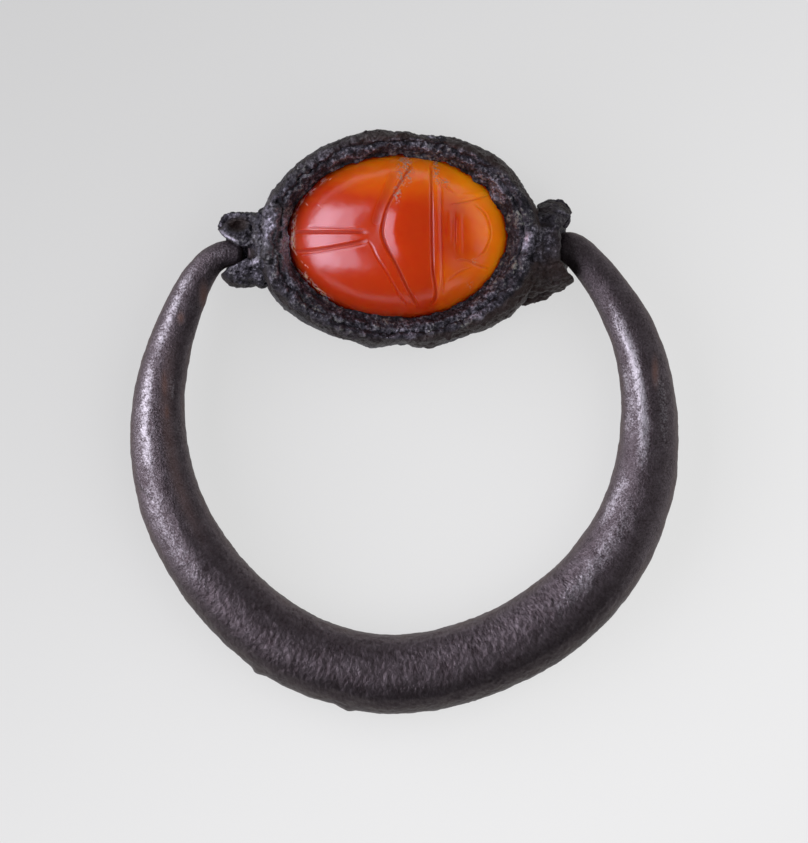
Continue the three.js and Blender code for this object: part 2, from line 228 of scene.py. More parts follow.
def along_line(places, curve):
    """How far each place is from a curve, on which side of it, and how far along it"""
    gaps = np.linalg.norm(places[:, None] - curve[None], axis=2)
    index = gaps.argmin(axis=1)
    heading = np.gradient(curve, axis=0)[index]
    offset = places - curve[index]
    side = heading[:, 0] * offset[:, 1] - heading[:, 1] * offset[:, 0]
    lengths = np.concatenate([[0], np.cumsum(np.linalg.norm(np.diff(curve, axis=0), axis=1))])
    return gaps.min(axis=1), np.sign(side), lengths[index], lengths[-1]


def by_line(places, pixels, width, fade=0.1):
    """1 on a line drawn through places of the picture, falling to 0 at its width and at its ends"""
    curve = drawn([spot(*pixel_place) for pixel_place in pixels], 0.05)
    share = np.zeros(len(places))
    low, high = curve.min(axis=0) - width, curve.max(axis=0) + width
    close = np.nonzero(np.all((places[:, :2] > low) & (places[:, :2] < high), axis=1))[0]
    if len(close):
        gap, _, along, length = along_line(places[close, :2], curve)
        ends = smoothstep(0, fade * length, np.minimum(along, length - along))
        share[close] = (1 - np.clip(gap / width, 0, 1) ** 2) ** 2 * ends
    return share


def centres_of(piece):
    centres = np.empty(len(piece.data.polygons) * 3)
    piece.data.polygons.foreach_get("center", centres)
    return centres.reshape(-1, 3)


def cut_finer(piece, chosen):
    """Cuts each chosen face in four"""
    take(piece)
    bpy.ops.object.mode_set(mode="EDIT")
    bpy.ops.mesh.select_mode(type="FACE")
    bpy.ops.mesh.select_all(action="DESELECT")
    bpy.ops.object.mode_set(mode="OBJECT")
    piece.data.polygons.foreach_set("select", chosen)
    bpy.ops.object.mode_set(mode="EDIT")
    bpy.ops.mesh.subdivide(number_cuts=1)
    bpy.ops.object.mode_set(mode="OBJECT")


print("a curve of", len(drawn([(0, 0), (1, 0.2), (2, 0)])), "places is 2 mm long")

# %% [markdown]
# The lines of the beetle are points in shares of the stone's half length and half width, from its middle. A
# strong line is wide and deep, a fine one is a hair line beside it, a broad one is a soft trough, and a ridge
# stands up between two furrows. Each one is rounded, as the rim of a small wheel cuts it, and runs out to
# nothing at its ends. At the bent line the thorax stands up as a rounded step, and a list says how high it is
# from one end of the line to the other.

# %% Furrows of the beetle
strong, fine, broad, ridge = (0.14, 0.085), (0.1, 0.038), (0.4, 0.05), (0.15, -0.045)
thorax_step = (0.04, 0.09, 0.14, 0.18, 0.2, 0.2, 0.15, 0.07, 0.03, 0.0)
lines = [
    (fine, 0, [(-0.806, 0.132), (-0.514, 0.107), (-0.267, 0.077)]),
    (strong, 0, [(-0.93, 0.076), (-0.604, 0.062), (-0.267, 0.048)]),
    (strong, 0, [(-0.915, -0.161), (-0.606, -0.121), (-0.269, -0.047)]),
    (fine, 0, [(-0.895, -0.208), (-0.607, -0.162), (-0.269, -0.09)]),
    (fine, 0, [(-0.27, -0.05), (-0.231, -0.12), (-0.192, -0.238), (-0.106, -0.429), (-0.02, -0.644),
               (0.074, -0.85)]),
    (broad, 0, [(-0.01, 0.8), (-0.093, 0.516), (-0.157, 0.317), (-0.208, 0.1)]),
    (strong, thorax_step, [(0.143, 0.865), (0.061, 0.702), (-0.013, 0.538), (-0.086, 0.351), (-0.128, 0.175),
                           (-0.14, 0.03), (-0.11, -0.11), (-0.016, -0.36), (0.077, -0.634), (0.164, -0.845)]),
    (strong, 0, [(0.302, 0.84), (0.297, 0.223), (0.298, -0.368), (0.321, -0.64), (0.31, -0.76),
                 (0.26, -0.83)]),
    (ridge, 0, [(0.35, 0.8), (0.346, 0.1), (0.352, -0.7)]),
    (fine, 0, [(0.39, 0.7), (0.382, 0.068), (0.386, -0.7)]),
    (ridge, 0, [(0.457, 0.3), (0.452, -0.12)]),
    (fine, 0, [(0.505, 0.27), (0.5, -0.2)]),
    (ridge, 0, [(0.55, 0.26), (0.548, -0.25)]),
    (fine, 0, [(0.676, 0.367), (0.763, 0.259), (0.805, 0.128), (0.815, -0.023), (0.765, -0.179),
               (0.685, -0.29)]),
    (fine, 0, [(0.448, 0.349), (0.641, 0.404), (0.828, 0.476)]),
    (ridge, 0, [(0.5, 0.45), (0.66, 0.48), (0.8, 0.53)]),
    (fine, 0, [(0.472, -0.284), (0.602, -0.302), (0.674, -0.354), (0.807, -0.404)]),
    (fine, 0, [(0.66, -0.37), (0.541, -0.431), (0.425, -0.536)]),
    (fine, 0, [(0.37, 0.659), (0.431, 0.574), (0.509, 0.478)]),
]
curves = [drawn([(x * stone_reach[0], y * stone_reach[1]) for x, y in points]) for _, _, points in lines]
scratches = [[(305, 203), (309, 207)], [(317, 205), (323, 209)], [(328, 182), (333, 178)],
             [(299, 259), (306, 266), (313, 272)], [(303, 288), (312, 297), (320, 303)]]
wide_band, narrow_band = 0.3, 0.17
for band in (wide_band, narrow_band):
    centres = centres_of(stone)
    flat = centres[:, :2]
    beside = np.zeros(len(centres), bool)
    for curve in curves:
        low, high = curve.min(axis=0) - band, curve.max(axis=0) + band
        reached = np.nonzero(np.all((flat > low) & (flat < high), axis=1))[0]
        beside[reached] |= along_line(flat[reached], curve)[0] < band
    for scratch in scratches:
        beside |= by_line(centres + (*stone_middle, 0), scratch, band) > 0
    cut_finer(stone, beside & (centres[:, 2] > girdle_level + 0.3))
print("stone with fine faces beside its lines:", triangles(stone), "triangles")

# %% [markdown]
# Now the points themselves move down into the furrows. The back of the stone isn't one egg: the head is
# lower, its middle swells, there is a shallow dip where the wing covers meet the thorax, and the hand of the
# grinder left soft flats.

# %% Cutting the beetle
places = points_of(stone)
back = places[:, 2] > girdle_level + 0.01
close = np.nonzero(back)[0]
shares = places[:, :2] / np.array(stone_reach)
fullness = np.clip((shares**2).sum(axis=1), 0, 1)
head = smoothstep(0.33, 0.6, shares[:, 0])
head_plate = np.exp(-((np.hypot(shares[:, 0] - 0.66, (shares[:, 1] - 0.03) / 1.5) / 0.17) ** 4))
wing_dip = np.exp(-(((shares[:, 0] + 0.24) / 0.13) ** 2 + ((shares[:, 1] - 0.02) / 0.3) ** 2))
rise = (1 - fullness**3) * (0.24 * head_plate - 0.26 * head - 0.08 * wing_dip)
furrow, standing, thorax = np.zeros(len(places)), np.zeros(len(places)), np.zeros(len(places))
for ((half_width, depth), step_up, points), curve in zip(lines, curves):
    gap, side, along, length = along_line(places[close, :2], curve)
    run_out = smoothstep(-0.1, 0.5, np.minimum(along, length - along))
    profile = run_out * (1 - np.clip(gap / half_width, 0, 1) ** 2) ** 2
    furrow[close] = np.maximum(furrow[close], depth * profile)
    standing[close] = np.maximum(standing[close], -depth * profile)
    if step_up:
        height = np.interp(along / length, np.linspace(0, 1, len(step_up)), step_up)
        swell = height * smoothstep(-0.05, 0.75, gap) * np.exp(-((gap / 1.9) ** 2)) * (side > 0)
        thorax[close] = np.maximum(thorax[close], swell)
hand_ground = 0.05 * (speckle(places, 2.2, 3, 2) - 0.5) + 0.012 * (speckle(places, 0.5, 4, 2) - 0.5)
places[back, 2] += (rise - furrow + standing + thorax + hand_ground)[back]
places[:, :2] += np.array(stone_middle)
move_points(stone, places)
print("furrows:", len(lines), "deepest", round(float(furrow.max()), 3), "mm")

# %% [markdown]
# The finish of the stone needs to know where it is: how orange the body is there, how deep in a furrow, and
# where pale crumbs of earth and chips still show. Each is painted on the points as a number from 0 to 1.

# %% Colours painted on the stone
local = places[:, :2] - np.array(stone_middle)
right_of, above = local.T
upper_side = 0.1 * above * smoothstep(0.3, 3, above)
head_side = (0.02 + 0.1 * smoothstep(-0.6, -2, above)) * smoothstep(1.5, 2.2, right_of)
front_end = 0.26 * smoothstep(3.2, 4.9, right_of + 0.35 * above)
amber = 0.34 + 0.035 * right_of + upper_side + head_side + front_end
paint(stone, "amber", amber + 0.1 * (speckle(places, 1.6, 11) - 0.5))
deepest = strong[1]
paint(stone, "furrow", (furrow / deepest) ** 1.3)
upper_bend = 0.8 * near(places, spot(405, 172), (0.6, 1.1)) + 0.6 * near(places, spot(397, 195), (0.3, 0.7))
beside_head = 0.8 * near(places, spot(436, 172), (0.25, 0.8)) + 0.5 * near(places, spot(443, 184), (0.5, 0.35))
cheek = 0.26 * near(places, spot(474, 262), (0.35, 0.25)) + 0.16 * near(places, spot(470, 285), (0.4, 0.6))
rim = np.sqrt(fullness) + 0.03 * (speckle(places, 1.2, 12) - 0.5)
left_edge = (np.exp(-(((rim - 0.942) / 0.02) ** 2)) * smoothstep(-3.2, -4.2, right_of)
             * smoothstep(0.42, 0.56, speckle(places, 0.9, 13)))
scratched = np.max([by_line(places, scratch, 0.05, 0.5) for scratch in scratches], axis=0)
paint(stone, "deposit", np.where(back, np.maximum.reduce([upper_bend, beside_head, cheek]), 0))
paint(stone, "chipped", np.where(back, np.maximum(left_edge, 0.7 * scratched), 0))
print("amber from", round(float(amber.min()), 2), "to", round(float(amber.max()), 2))

# %% [markdown]
# ## Skinning the silver
# Corroded silver has no sharp edges: its skin swells, crumbles and creeps over the joins. The solid of each
# silver piece gives its size and place, and lumps are set on it as small pressed balls. One ball is modelled
# once and copied, in a row for a rolled edge, or sown at random for grains of crust.

# %% Lumps, ropes and crumbs
bpy.ops.object.select_all(action="DESELECT")
bpy.ops.mesh.primitive_ico_sphere_add(subdivisions=2, radius=1)
ball_mesh = bpy.context.object.data
bpy.data.objects.remove(bpy.context.object)
tip_room = 1.7


def lumps(piece, spots):
    """Sets balls on a piece, each with its own place and its own three half sizes, and joins them to it"""
    balls = []
    for place, size in spots:
        mesh = ball_mesh.copy()
        size = size if hasattr(size, "__len__") else (size, size, size)
        mesh.transform(Matrix.Translation(place) @ Matrix.Diagonal((*size, 1)))
        ball = bpy.data.objects.new("ball", mesh)
        bpy.context.collection.objects.link(ball)
        balls.append(ball)
    take(*balls, piece)
    bpy.ops.object.join()


def rope(points, sizes, step=0.09):
    """Balls close together along a line, each point a picture place and a height, as a rolled edge"""
    curve = drawn([(*spot(x, y), z) for x, y, z in points], step)
    share = np.linspace(0, 1, len(curve))
    widths = np.interp(share, np.linspace(0, 1, len(sizes)), sizes)
    return [(tuple(place), float(width)) for place, width in zip(curve, widths)]


def crumbs(piece, places, sizes, seed):
    """Sows small balls, half sunk, on the skin of a piece below each place, as grains of crust. None goes where
    the hoop's tips turn."""
    pick = np.random.RandomState(seed)
    bpy.context.view_layer.update()
    sown = []
    for x, y in places:
        hit, point, upright, _ = piece.ray_cast((x, y, 20), (0, 0, -1))
        size, stretch = pick.uniform(*sizes), pick.uniform(0.8, 1.5, 3)
        clear = abs(x) < 7.0 or math.hypot(point.y - pivot[1], point.z - pivot[2]) > tip_room + size
        if hit and upright.z > 0.3 and clear:
            sown.append((tuple(point - upright * size * 0.35), tuple(size * stretch)))
    lumps(piece, sown)
    return len(sown)


print("one ball:", len(ball_mesh.polygons), "faces")

# %% [markdown]
# A voxel remesh draws one even skin over a piece and its lumps. The skin is smoothed, and then roughened in
# several coats, from lumps of a millimetre down to grains of a tenth, because real crust has all these sizes at
# once. A finish will need to know what stands up and what faces up, so both are painted on the points here. The
# finishes use them for painted light and shade: what stands up or faces up is painted lighter, and what lies deep
# or turns to the side is painted darker and browner.

# %% Skin and crust
def skin(piece, voxel, smooth):
    """Draws one even skin over a piece, in cells of that many millimetres"""
    work(piece, "REMESH", mode="VOXEL", voxel_size=voxel, use_smooth_shade=True)
    work(piece, "SMOOTH", factor=0.5, iterations=smooth)


def roughen(piece, grain, height, seed, where=None):
    """Pushes the skin in and out along its own direction, in grains of that many millimetres"""
    texture = bpy.data.textures.new(f"grain_{seed}", "CLOUDS")
    texture.noise_scale = grain
    texture.noise_depth = 2
    texture.noise_basis = "ORIGINAL_PERLIN"
    before = points_of(piece)
    shift = np.array((seed * 3.7, -seed * 2.9, seed * 1.3))
    move_points(piece, before + shift)
    work(piece, "DISPLACE", texture=texture, texture_coords="LOCAL", strength=height, mid_level=0.5)
    after = points_of(piece) - shift
    if where is not None:
        after = before + (after - before) * where[:, None]
    move_points(piece, after)


def crust(piece, coats, where=None):
    """Roughens a piece coat by coat, and paints how high each point stands over its smooth form"""
    before, directions = points_of(piece), normals_of(piece)
    for coat in coats:
        roughen(piece, *coat, where=where)
    rise = ((points_of(piece) - before) * directions).sum(axis=1)
    low_rise, high_rise = np.percentile(rise, (3, 97))
    paint(piece, "relief", (rise - low_rise) / (high_rise - low_rise))
    # Painted light: upward is 1 facing up, 0.75 on undercut walls and low on the steep slopes between them
    tilt = directions[:, 2]
    paint(piece, "upward", np.maximum(smoothstep(0.2, 0.85, tilt), 0.75 * smoothstep(0.25, -0.05, tilt)))


print("a coat is a grain size, a height and a seed, such as", (0.6, 0.34, 2))

# %% [markdown]
# Three more tools work by hand on the points of a skin. A push bends what is near a place, as a thumb would, the
# underside is worn flat where the ring rests, and the room in which the hoop's tips turn is measured, so that no
# crust grows into it.

# %% Hand tools
def push(piece, place, reach, shove):
    """Moves what is near a place, as a soft thumb would"""
    places = points_of(piece)
    move_points(piece, places + near(places, place, reach)[:, None] * np.array(shove, float))


def rest_flat(piece, level=0.0):
    """What would sink below the table is worn flat instead"""
    places = points_of(piece)
    places[:, 2] = np.maximum(places[:, 2], level)
    move_points(piece, places)


def off_axis(piece):
    """How far each point is from the swivel axis: the hoop's tips turn in there, so it stays clear"""
    places = points_of(piece)
    return np.hypot(places[:, 1] - pivot[1], places[:, 2] - pivot[2])


print("tips turn within", tip_room, "mm of the swivel axis")

# %% [markdown]
# ## The outer frame
# The frame is the heavy oval ring round the stone. Its outline isn't a clean oval any more: crust stands on
# it in some places and has broken away in others. The outline was measured every few degrees round the
# stone, as how far it stands out from the oval, and the outside of the frame is moved by that much. Its top
# takes finer faces, because that is what is seen close by.

# %% Outer frame
frame_low, frame_high = (Vector(corner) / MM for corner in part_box("outer_frame"))
oval_middle = np.array([(frame_low.x + frame_high.x) / 2, (frame_low.y + frame_high.y) / 2])
oval_reach = np.array([(frame_high.x - frame_low.x) / 2, (frame_high.y - frame_low.y) / 2])


def round_the_frame(places):
    """The angle round the frame in degrees, and how far out a place is, where 1 is the oval's edge"""
    offset = places[:, :2] - oval_middle
    return np.degrees(np.arctan2(offset[:, 1], offset[:, 0])) % 360, np.hypot(*(offset / oval_reach).T)


outer = bench_copy("outer_frame", "outer_frame_crust")
lumps(outer, [((*spot(268, 255), 5.1), (0.3, 0.42, 0.25)), ((*spot(266, 240), 5.15), (0.3, 0.5, 0.18)),
              ((*spot(429, 343), 3.2), (0.4, 0.22, 1.2)), ((*spot(273, 215), 5.2), (0.5, 0.7, 0.2))])
sow = np.random.RandomState(12)
grains_around, grains_left, finer_above = 420, 90, 4.2
turns, outs = sow.uniform(0, 2 * math.pi, grains_around), sow.uniform(0.88, 0.98, grains_around)
around = oval_middle + outs[:, None] * oval_reach * np.stack([np.cos(turns), np.sin(turns)], axis=1)
left_band = [spot(x, y) for x, y in zip(sow.uniform(260, 279, grains_left), sow.uniform(195, 285, grains_left))]
print("crumbs on the frame:", crumbs(outer, [*map(tuple, around), *left_band], (0.11, 0.2), 41))
skin(outer, 0.105, 2)
cut_finer(outer, centres_of(outer)[:, 2] > finer_above)
stands_out = {
    0: 0.02, 15: -0.12, 20: -0.23, 25: -0.1, 30: 0.02, 40: 0.06, 50: 0.05, 57: 0.04, 65: -0.03, 72: -0.15,
    80: -0.2, 86: -0.1, 92: -0.08, 97: 0.06, 104: 0.12, 112: 0.09, 125: 0.02, 131: 0.08, 136: 0.02,
    141: 0.06, 150: -0.06, 165: -0.06, 180: 0, 195: 0.02, 200: 0.15, 206: 0.1,
    215: 0.08, 222: 0.03, 230: -0.02, 245: -0.03, 255: 0.05,
    262: -0.12, 268: -0.28, 272: -0.28, 276: -0.06, 280: 0.02, 285: 0.07, 290: 0.06, 300: 0.03, 306: 0.0,
    313: 0.16, 320: 0.22, 325: 0.34, 331: 0.3, 338: 0.2, 350: 0.05, 360: 0.02,
}
places = points_of(outer)
offset = places[:, :2] - oval_middle
turn, share = round_the_frame(places)
out = np.interp(turn, list(stands_out), list(stands_out.values()))
outwards = offset / np.linalg.norm(offset, axis=1)[:, None]
weight = smoothstep(0.9, 1.0, share) * (0.4 + 0.6 * smoothstep(0.3, 1.6, places[:, 2]))
places[:, :2] += outwards * (out * weight)[:, None]
move_points(outer, places)
pits = [(278, 201.7, 0.2, 0.34), (273, 262.5, 0.17, 0.3), (262, 205, 0.3, 0.12), (300, 168, 0.2, 0.2),
        (477, 336, 0.25, 0.2), (420, 137, 0.25, 0.15), (246, 243, 0.3, 0.2)]
for x, y, reach, depth in pits:
    push(outer, (*spot(x, y), 5.2), (reach * 1.3, reach, 1.2), (0, 0, -depth))
print("outer frame:", triangles(outer), "triangles, with", len(pits), "pits")

# %% [markdown]
# The crust is thinner low on the frame, where it was protected. A smooth patch at the right shows bare metal. The
# crust at the left, which faces the lamp, and a spot at the upper right are painted lighter as painted glints, and
# the upper flank is painted brown, as earth and as shade, less of it at the left, where the lamp falls.

# %% Crust of the frame
places = points_of(outer)
outer_weight = 0.7 + 0.3 * smoothstep(3.4, 4.6, places[:, 2])
crust(outer, [(1.7, 0.36, 1), (0.6, 0.34, 2), (0.26, 0.2, 3), (0.13, 0.08, 17)], where=outer_weight)
places = points_of(outer)
smooth_patch = np.maximum(by_line(places, [(525, 227), (527, 238), (523, 249), (517, 257)], 0.32, 0.4),
                          near(places, spot(518, 250), (0.3, 0.35))) * smoothstep(3.6, 4.4, places[:, 2])
# Painted highlight: glints painted on the crust at the left, which faces the lamp, and at the upper right
glinting = np.maximum(0.6 * near(places, spot(271, 230), (0.9, 2.5)),
                      0.25 * near(places, spot(497, 196), (0.8, 1.1)))
paint(outer, "wear_and_highlight", np.maximum(0.75 * smooth_patch, glinting))
turn, share = round_the_frame(places)
# The upper flank is painted brown as earth and as painted shade, less of it at the left, which faces the lamp
brown_flank = {0: 0.9, 30: 1, 100: 0.95, 125: 0.5, 150: 0.2, 205: 0.2, 235: 0.5, 265: 0.7, 300: 0.95, 340: 1,
               360: 0.9}
band = share + 0.035 * np.abs(np.sin(np.radians(turn))) + 0.05 * (speckle(places, 0.6, 43) - 0.5)
flank = smoothstep(0.93, 0.97, band) * smoothstep(2.6, 3.8, places[:, 2])
paint(outer, "earth_and_shade", flank * np.interp(turn, list(brown_flank), list(brown_flank.values())))
rest_flat(outer)
print("brown share of the frame:", round(float((flank > 0.5).mean()), 3))

# %% [markdown]
# ## The collar
# The collar is a thin strip bent round the stone and pressed over its edge. Crust has grown over the seam
# between it and the frame, and only at the left a dark groove is still open. The crust is a row of small
# lumps round the seam. The lip thins out towards the stone, and its edge is pulled in and out, so that it lies
# unevenly on the stone and throws no deep shadow there.

# %% Collar
draw = np.random.RandomState(7)
collar = bench_copy("setting_collar", "setting_collar_crust")
seam, seam_reach, seam_level, lump_every = [], (6.32, 4.87), 5.04, 2.2
for angle in np.arange(0, 360, lump_every):
    turn = math.radians(angle + draw.uniform(-1, 1))
    size = draw.uniform(0.18, 0.36)
    out = draw.uniform(-0.16, 0.2)
    place = (stone_middle[0] + (seam_reach[0] + out) * math.cos(turn),
             stone_middle[1] + (seam_reach[1] + out) * math.sin(turn), seam_level - size * 0.5)
    seam.append((place, (size * draw.uniform(0.9, 1.5), size * draw.uniform(0.9, 1.5), size)))
lumps(collar, seam)
grains_on_lip, finer_above, lip_level = 380, 4.35, 4.58
turns, outs = draw.uniform(0, 2 * math.pi, grains_on_lip), draw.uniform(0.97, 1.1, grains_on_lip)
around = np.array(stone_middle) + outs[:, None] * stone_reach * np.stack([np.cos(turns), np.sin(turns)], axis=1)
print("crumbs on the lip:", crumbs(collar, [*map(tuple, around)], (0.09, 0.17), 42))
skin(collar, 0.105, 2)
cut_finer(collar, centres_of(collar)[:, 2] > finer_above)
places = points_of(collar)
offset = places[:, :2] - np.array(stone_middle)
share = np.hypot(*(offset / np.array(stone_reach)).T)
lip = smoothstep(1.02, 0.95, share) * smoothstep(4.0, 4.4, places[:, 2])
wander = 0.34 * (speckle(places, 0.9, 21, 3) - 0.5) + 0.03 + 0.14 * smoothstep(-3, -5, offset[:, 0])
places[:, :2] += offset / np.linalg.norm(offset, axis=1)[:, None] * (lip * wander)[:, None]
thinned = 0.95 * smoothstep(1.08, 0.94, share) * np.maximum(places[:, 2] - lip_level, 0)
left_groove = [(282, 203), (280.5, 216), (281, 230), (280, 246), (281, 262)]
groove = by_line(places, left_groove, 0.13) * smoothstep(0.42, 0.6, speckle(places, 0.5, 25))
places[:, 2] -= thinned + 0.34 * groove * smoothstep(4.3, 4.7, places[:, 2])
move_points(collar, places)
crust(collar, [(0.8, 0.24, 4), (0.34, 0.26, 5), (0.16, 0.12, 15)], where=smoothstep(3.4, 4.4, places[:, 2]))
# Painted light: at the left the collar counts as facing up more, so its finish paints it lighter there
open_left = smoothstep(-3, -5, offset[:, 0])
paint(collar, "upward", smoothstep(-0.1 - 0.4 * open_left, 0.45 - 0.35 * open_left, normals_of(collar)[:, 2]))
# Painted shade: the open groove at the left is painted dark
paint(collar, "earth_and_shade", groove)
# Painted highlight: light crust painted at the left of the lip and at its upper right
paint(collar, "wear_and_highlight", np.maximum(0.9 * near(places, spot(287, 242), (0.7, 2.3)),
                                 0.4 * near(places, spot(497, 192), (0.7, 0.9))))
print("collar:", triangles(collar), "triangles, with", len(seam), "lumps on its seam")

# %% [markdown]
# ## Back lip, bedding and wire
# Three pieces are mostly hidden. The back lip is a flat strip that holds the base of the stone, the bedding is a
# paste of resin and earth that fills the space under the collar, and the wire runs through the stone into both
# cups. They get the same skin, with less crust, because they lay protected.

# %% Back lip, bedding and wire
back_strip = bench_copy("back_lip", "back_lip_crust")
skin(back_strip, 0.07, 3)
crust(back_strip, [(0.5, 0.05, 6)])
bedding = bench_copy("bedding_paste", "bedding_paste_crumb")
skin(bedding, 0.08, 1)
crust(bedding, [(0.3, 0.05, 7)])
wire = bench_copy("stone_wire", "stone_wire_worn")
skin(wire, 0.06, 3)
crust(wire, [(0.3, 0.03, 8)])
for piece in (back_strip, bedding, wire):
    rest_flat(piece, 0.01)
    print(piece.name, triangles(piece), "triangles")

# %% [markdown]
# ## The left cup
# The cup at the left was a hollow bead. Its front has torn open: above the hoop's tip a leaf of metal is
# curled back, with a bright edge, rubbed and painted with a highlight, and a brown hollow, and below the tip one
# prong is left. Ropes of small balls make the rolled edges, a soft push makes the hollow, and crumbs fill the
# bottom of the cup, which is painted dark as shade.

# %% Left cup
left = bench_copy("left_cup", "left_cup_torn")
curl = [(219.5, 229, 3.2), (224, 234, 3.7), (231, 238.5, 4.05), (240, 243, 4.25), (250, 246, 4.2)]
prong_edge = [(236, 269, 3.6), (246, 265, 4.0), (256, 262, 4.25), (262, 262, 4.25)]
leaf_top = [(220, 226, 3.0), (224, 219, 2.9), (232, 215.5, 2.9), (242, 216, 3.1), (252, 216, 3.3)]
fill = [((-7.4, pivot[1], 2.66), (0.42, 0.75, 0.75)), ((-7.25, pivot[1], 1.3), (0.35, 1.2, 0.5)),
        ((*spot(259, 220), 3.5), (0.45, 0.4, 0.9)), ((*spot(266, 219), 4.3), (0.5, 0.6, 0.4)),
        ((*spot(262, 228), 4.3), (0.5, 0.5, 0.35)), ((*spot(263, 238), 4.6), (0.42, 0.4, 0.3)),
        ((*spot(264, 249), 4.7), (0.4, 0.5, 0.3)), ((*spot(262, 262), 4.4), (0.5, 0.4, 0.4)),
        ((*spot(263, 274), 3.9), (0.5, 0.5, 0.5)), ((*spot(262, 281), 3.0), (0.5, 0.35, 0.8))]
crystals = [((*spot(255, 239), 4.5), (0.13, 0.18, 0.16)), ((*spot(258, 243), 4.6), (0.15, 0.12, 0.18)),
            ((*spot(261, 236), 4.8), (0.18, 0.14, 0.14)), ((*spot(251, 241), 4.3), (0.1, 0.14, 0.12))]
prong_top = [(232, 272, 3.3), (240, 269, 3.7), (249, 267, 3.9), (258, 268, 4.0)]
thick_step = 0.2
lumps(left, rope(curl, (0.1, 0.14, 0.17, 0.13)) + rope(prong_edge, (0.12, 0.2, 0.18))
      + rope(prong_top, (0.22, 0.3, 0.34, 0.3), thick_step) + rope(leaf_top, (0.14, 0.18, 0.2, 0.2))
      + fill + crystals)
sow = np.random.RandomState(44)
torn_part = [spot(x, y) for x, y in zip(sow.uniform(244, 276, 230), sow.uniform(214, 286, 230))]
outer_part = [spot(x, y) for x, y in zip(sow.uniform(222, 256, 60), sow.uniform(262, 284, 60))]
print("crumbs on the left cup:", crumbs(left, torn_part, (0.08, 0.17), 45),
      crumbs(left, outer_part, (0.05, 0.09), 46))
skin(left, 0.055, 1)
push(left, (*spot(237, 226), 4.2), (0.75, 0.42, 1.3), (0.03, 0.06, -0.75))
places = points_of(left)
# The rolled edges of the curl and the prong are painted brighter, as wear and painted highlight
rubbed_and_highlight = np.max([by_line(places, [p[:2] for p in curl[:4]], 0.14) * smoothstep(2.8, 3.2, places[:, 2]),
                 0.8 * by_line(places, [p[:2] for p in prong_edge[1:]], 0.22)], axis=0)
crust(left, [(0.7, 0.12, 9), (0.3, 0.24, 10), (0.14, 0.08, 18)],
      where=(1 - 0.6 * rubbed_and_highlight) * smoothstep(1.3, 1.75, off_axis(left)))
# Painted highlight: lighter crust where the cup meets the lit left band of the frame
paint(left, "wear_and_highlight", np.maximum(0.95 * rubbed_and_highlight * (0.3 + 1.1 * speckle(places, 0.2, 23)),
                               0.3 * near(places, (*spot(262, 240), 4.6), (0.8, 1.4, 1.5))))
hollow = np.clip(1.6 * near(places, (*spot(238, 224), 3.6), (0.85, 0.55, 1.6)), 0, 1)
# Painted shade: the deep hole beside the hoop's tip is painted dark
painted_hole_shade = near(places, (*spot(250, 254), 3.4), (0.45, 0.45, 1.6))
paint(left, "earth_and_shade", np.maximum(hollow, 1.5 * painted_hole_shade))
print("left cup:", triangles(left), "triangles")

# %% [markdown]
# ## The right cup
# The cup at the right kept more of its shape, but its mouth is worn into two ears, with a thin spike between
# the upper ear and the hoop. Crust fills its neck and has grown from it on to the frame.

# %% Right cup
right = bench_copy("right_cup", "right_cup_broken")
spike = [(565.5, 226.5, 3.5), (568.5, 222.5, 3.5), (571, 216.5, 3.4)]
ear_top = [(541, 206.5, 3.0), (552, 203.5, 2.9), (562, 204, 2.8), (568, 208, 2.9)]
join_line = [(535, 213, 3.5), (535, 224, 4.3), (536, 245, 4.75), (535, 270, 4.4), (532, 290, 3.2)]
neck_fill = [(543, 214, 3.6), (544, 230, 4.25), (545, 248, 4.35), (544, 270, 4.15), (541, 286, 3.2)]
under_lobe = [(569, 279, 2.7), (562, 285, 2.6), (552, 289, 2.5), (543, 293, 2.4), (532, 297, 2.4),
              (523, 301, 2.4)]
lumps(right, rope(spike, (0.13, 0.1, 0.06)) + rope(ear_top, (0.2, 0.22, 0.2, 0.16))
      + rope(join_line, (0.3, 0.48, 0.5, 0.5, 0.42), thick_step)
      + rope(neck_fill, (0.36, 0.44, 0.46, 0.44, 0.36), thick_step)
      + rope(under_lobe, (0.26, 0.3, 0.32, 0.38, 0.34, 0.3), thick_step))
sow = np.random.RandomState(47)
worn_part = [spot(x, y) for x, y in zip(sow.uniform(528, 570, 160), sow.uniform(204, 296, 160))]
print("crumbs on the right cup:", crumbs(right, worn_part, (0.07, 0.15), 48))
skin(right, 0.06, 5)
push(right, (*spot(538, 201), 3.0), (0.6, 0.5, 2.0), (0.06, -0.22, -0.05))
places = points_of(right)
crust(right, [(0.9, 0.26, 11), (0.32, 0.24, 12), (0.15, 0.1, 20)], where=smoothstep(1.4, 1.8, off_axis(right)))
# Painted highlight: a light patch on the crust of the neck
paint(right, "wear_and_highlight", 0.35 * near(places, (*spot(554, 253), 4.6), (0.35, 0.45, 1.0)))
soiled_patches = 0.45 * smoothstep(0.4, 0.7, speckle(places, 0.8, 49))
# The lower side of the cup is painted darker
darker_lower_side = 0.8 * smoothstep(-0.5, -1.1, places[:, 1] - pivot[1])
paint(right, "earth_and_shade", 0.12 + soiled_patches + darker_lower_side)
print("right cup:", triangles(right), "triangles")

# %% [markdown]
# ## The hoop
# The hoop is one solid bar, thick at its foot and thin at its tips, cast and hammered smooth. It is worn but
# not heavily crusted: its limbs are rubbed bright and painted with highlights, its foot carries a crust in fine
# radial streaks, and a few lumps stand on its outline. Its outline is corrected by angle from the foot, as the
# frame's was.

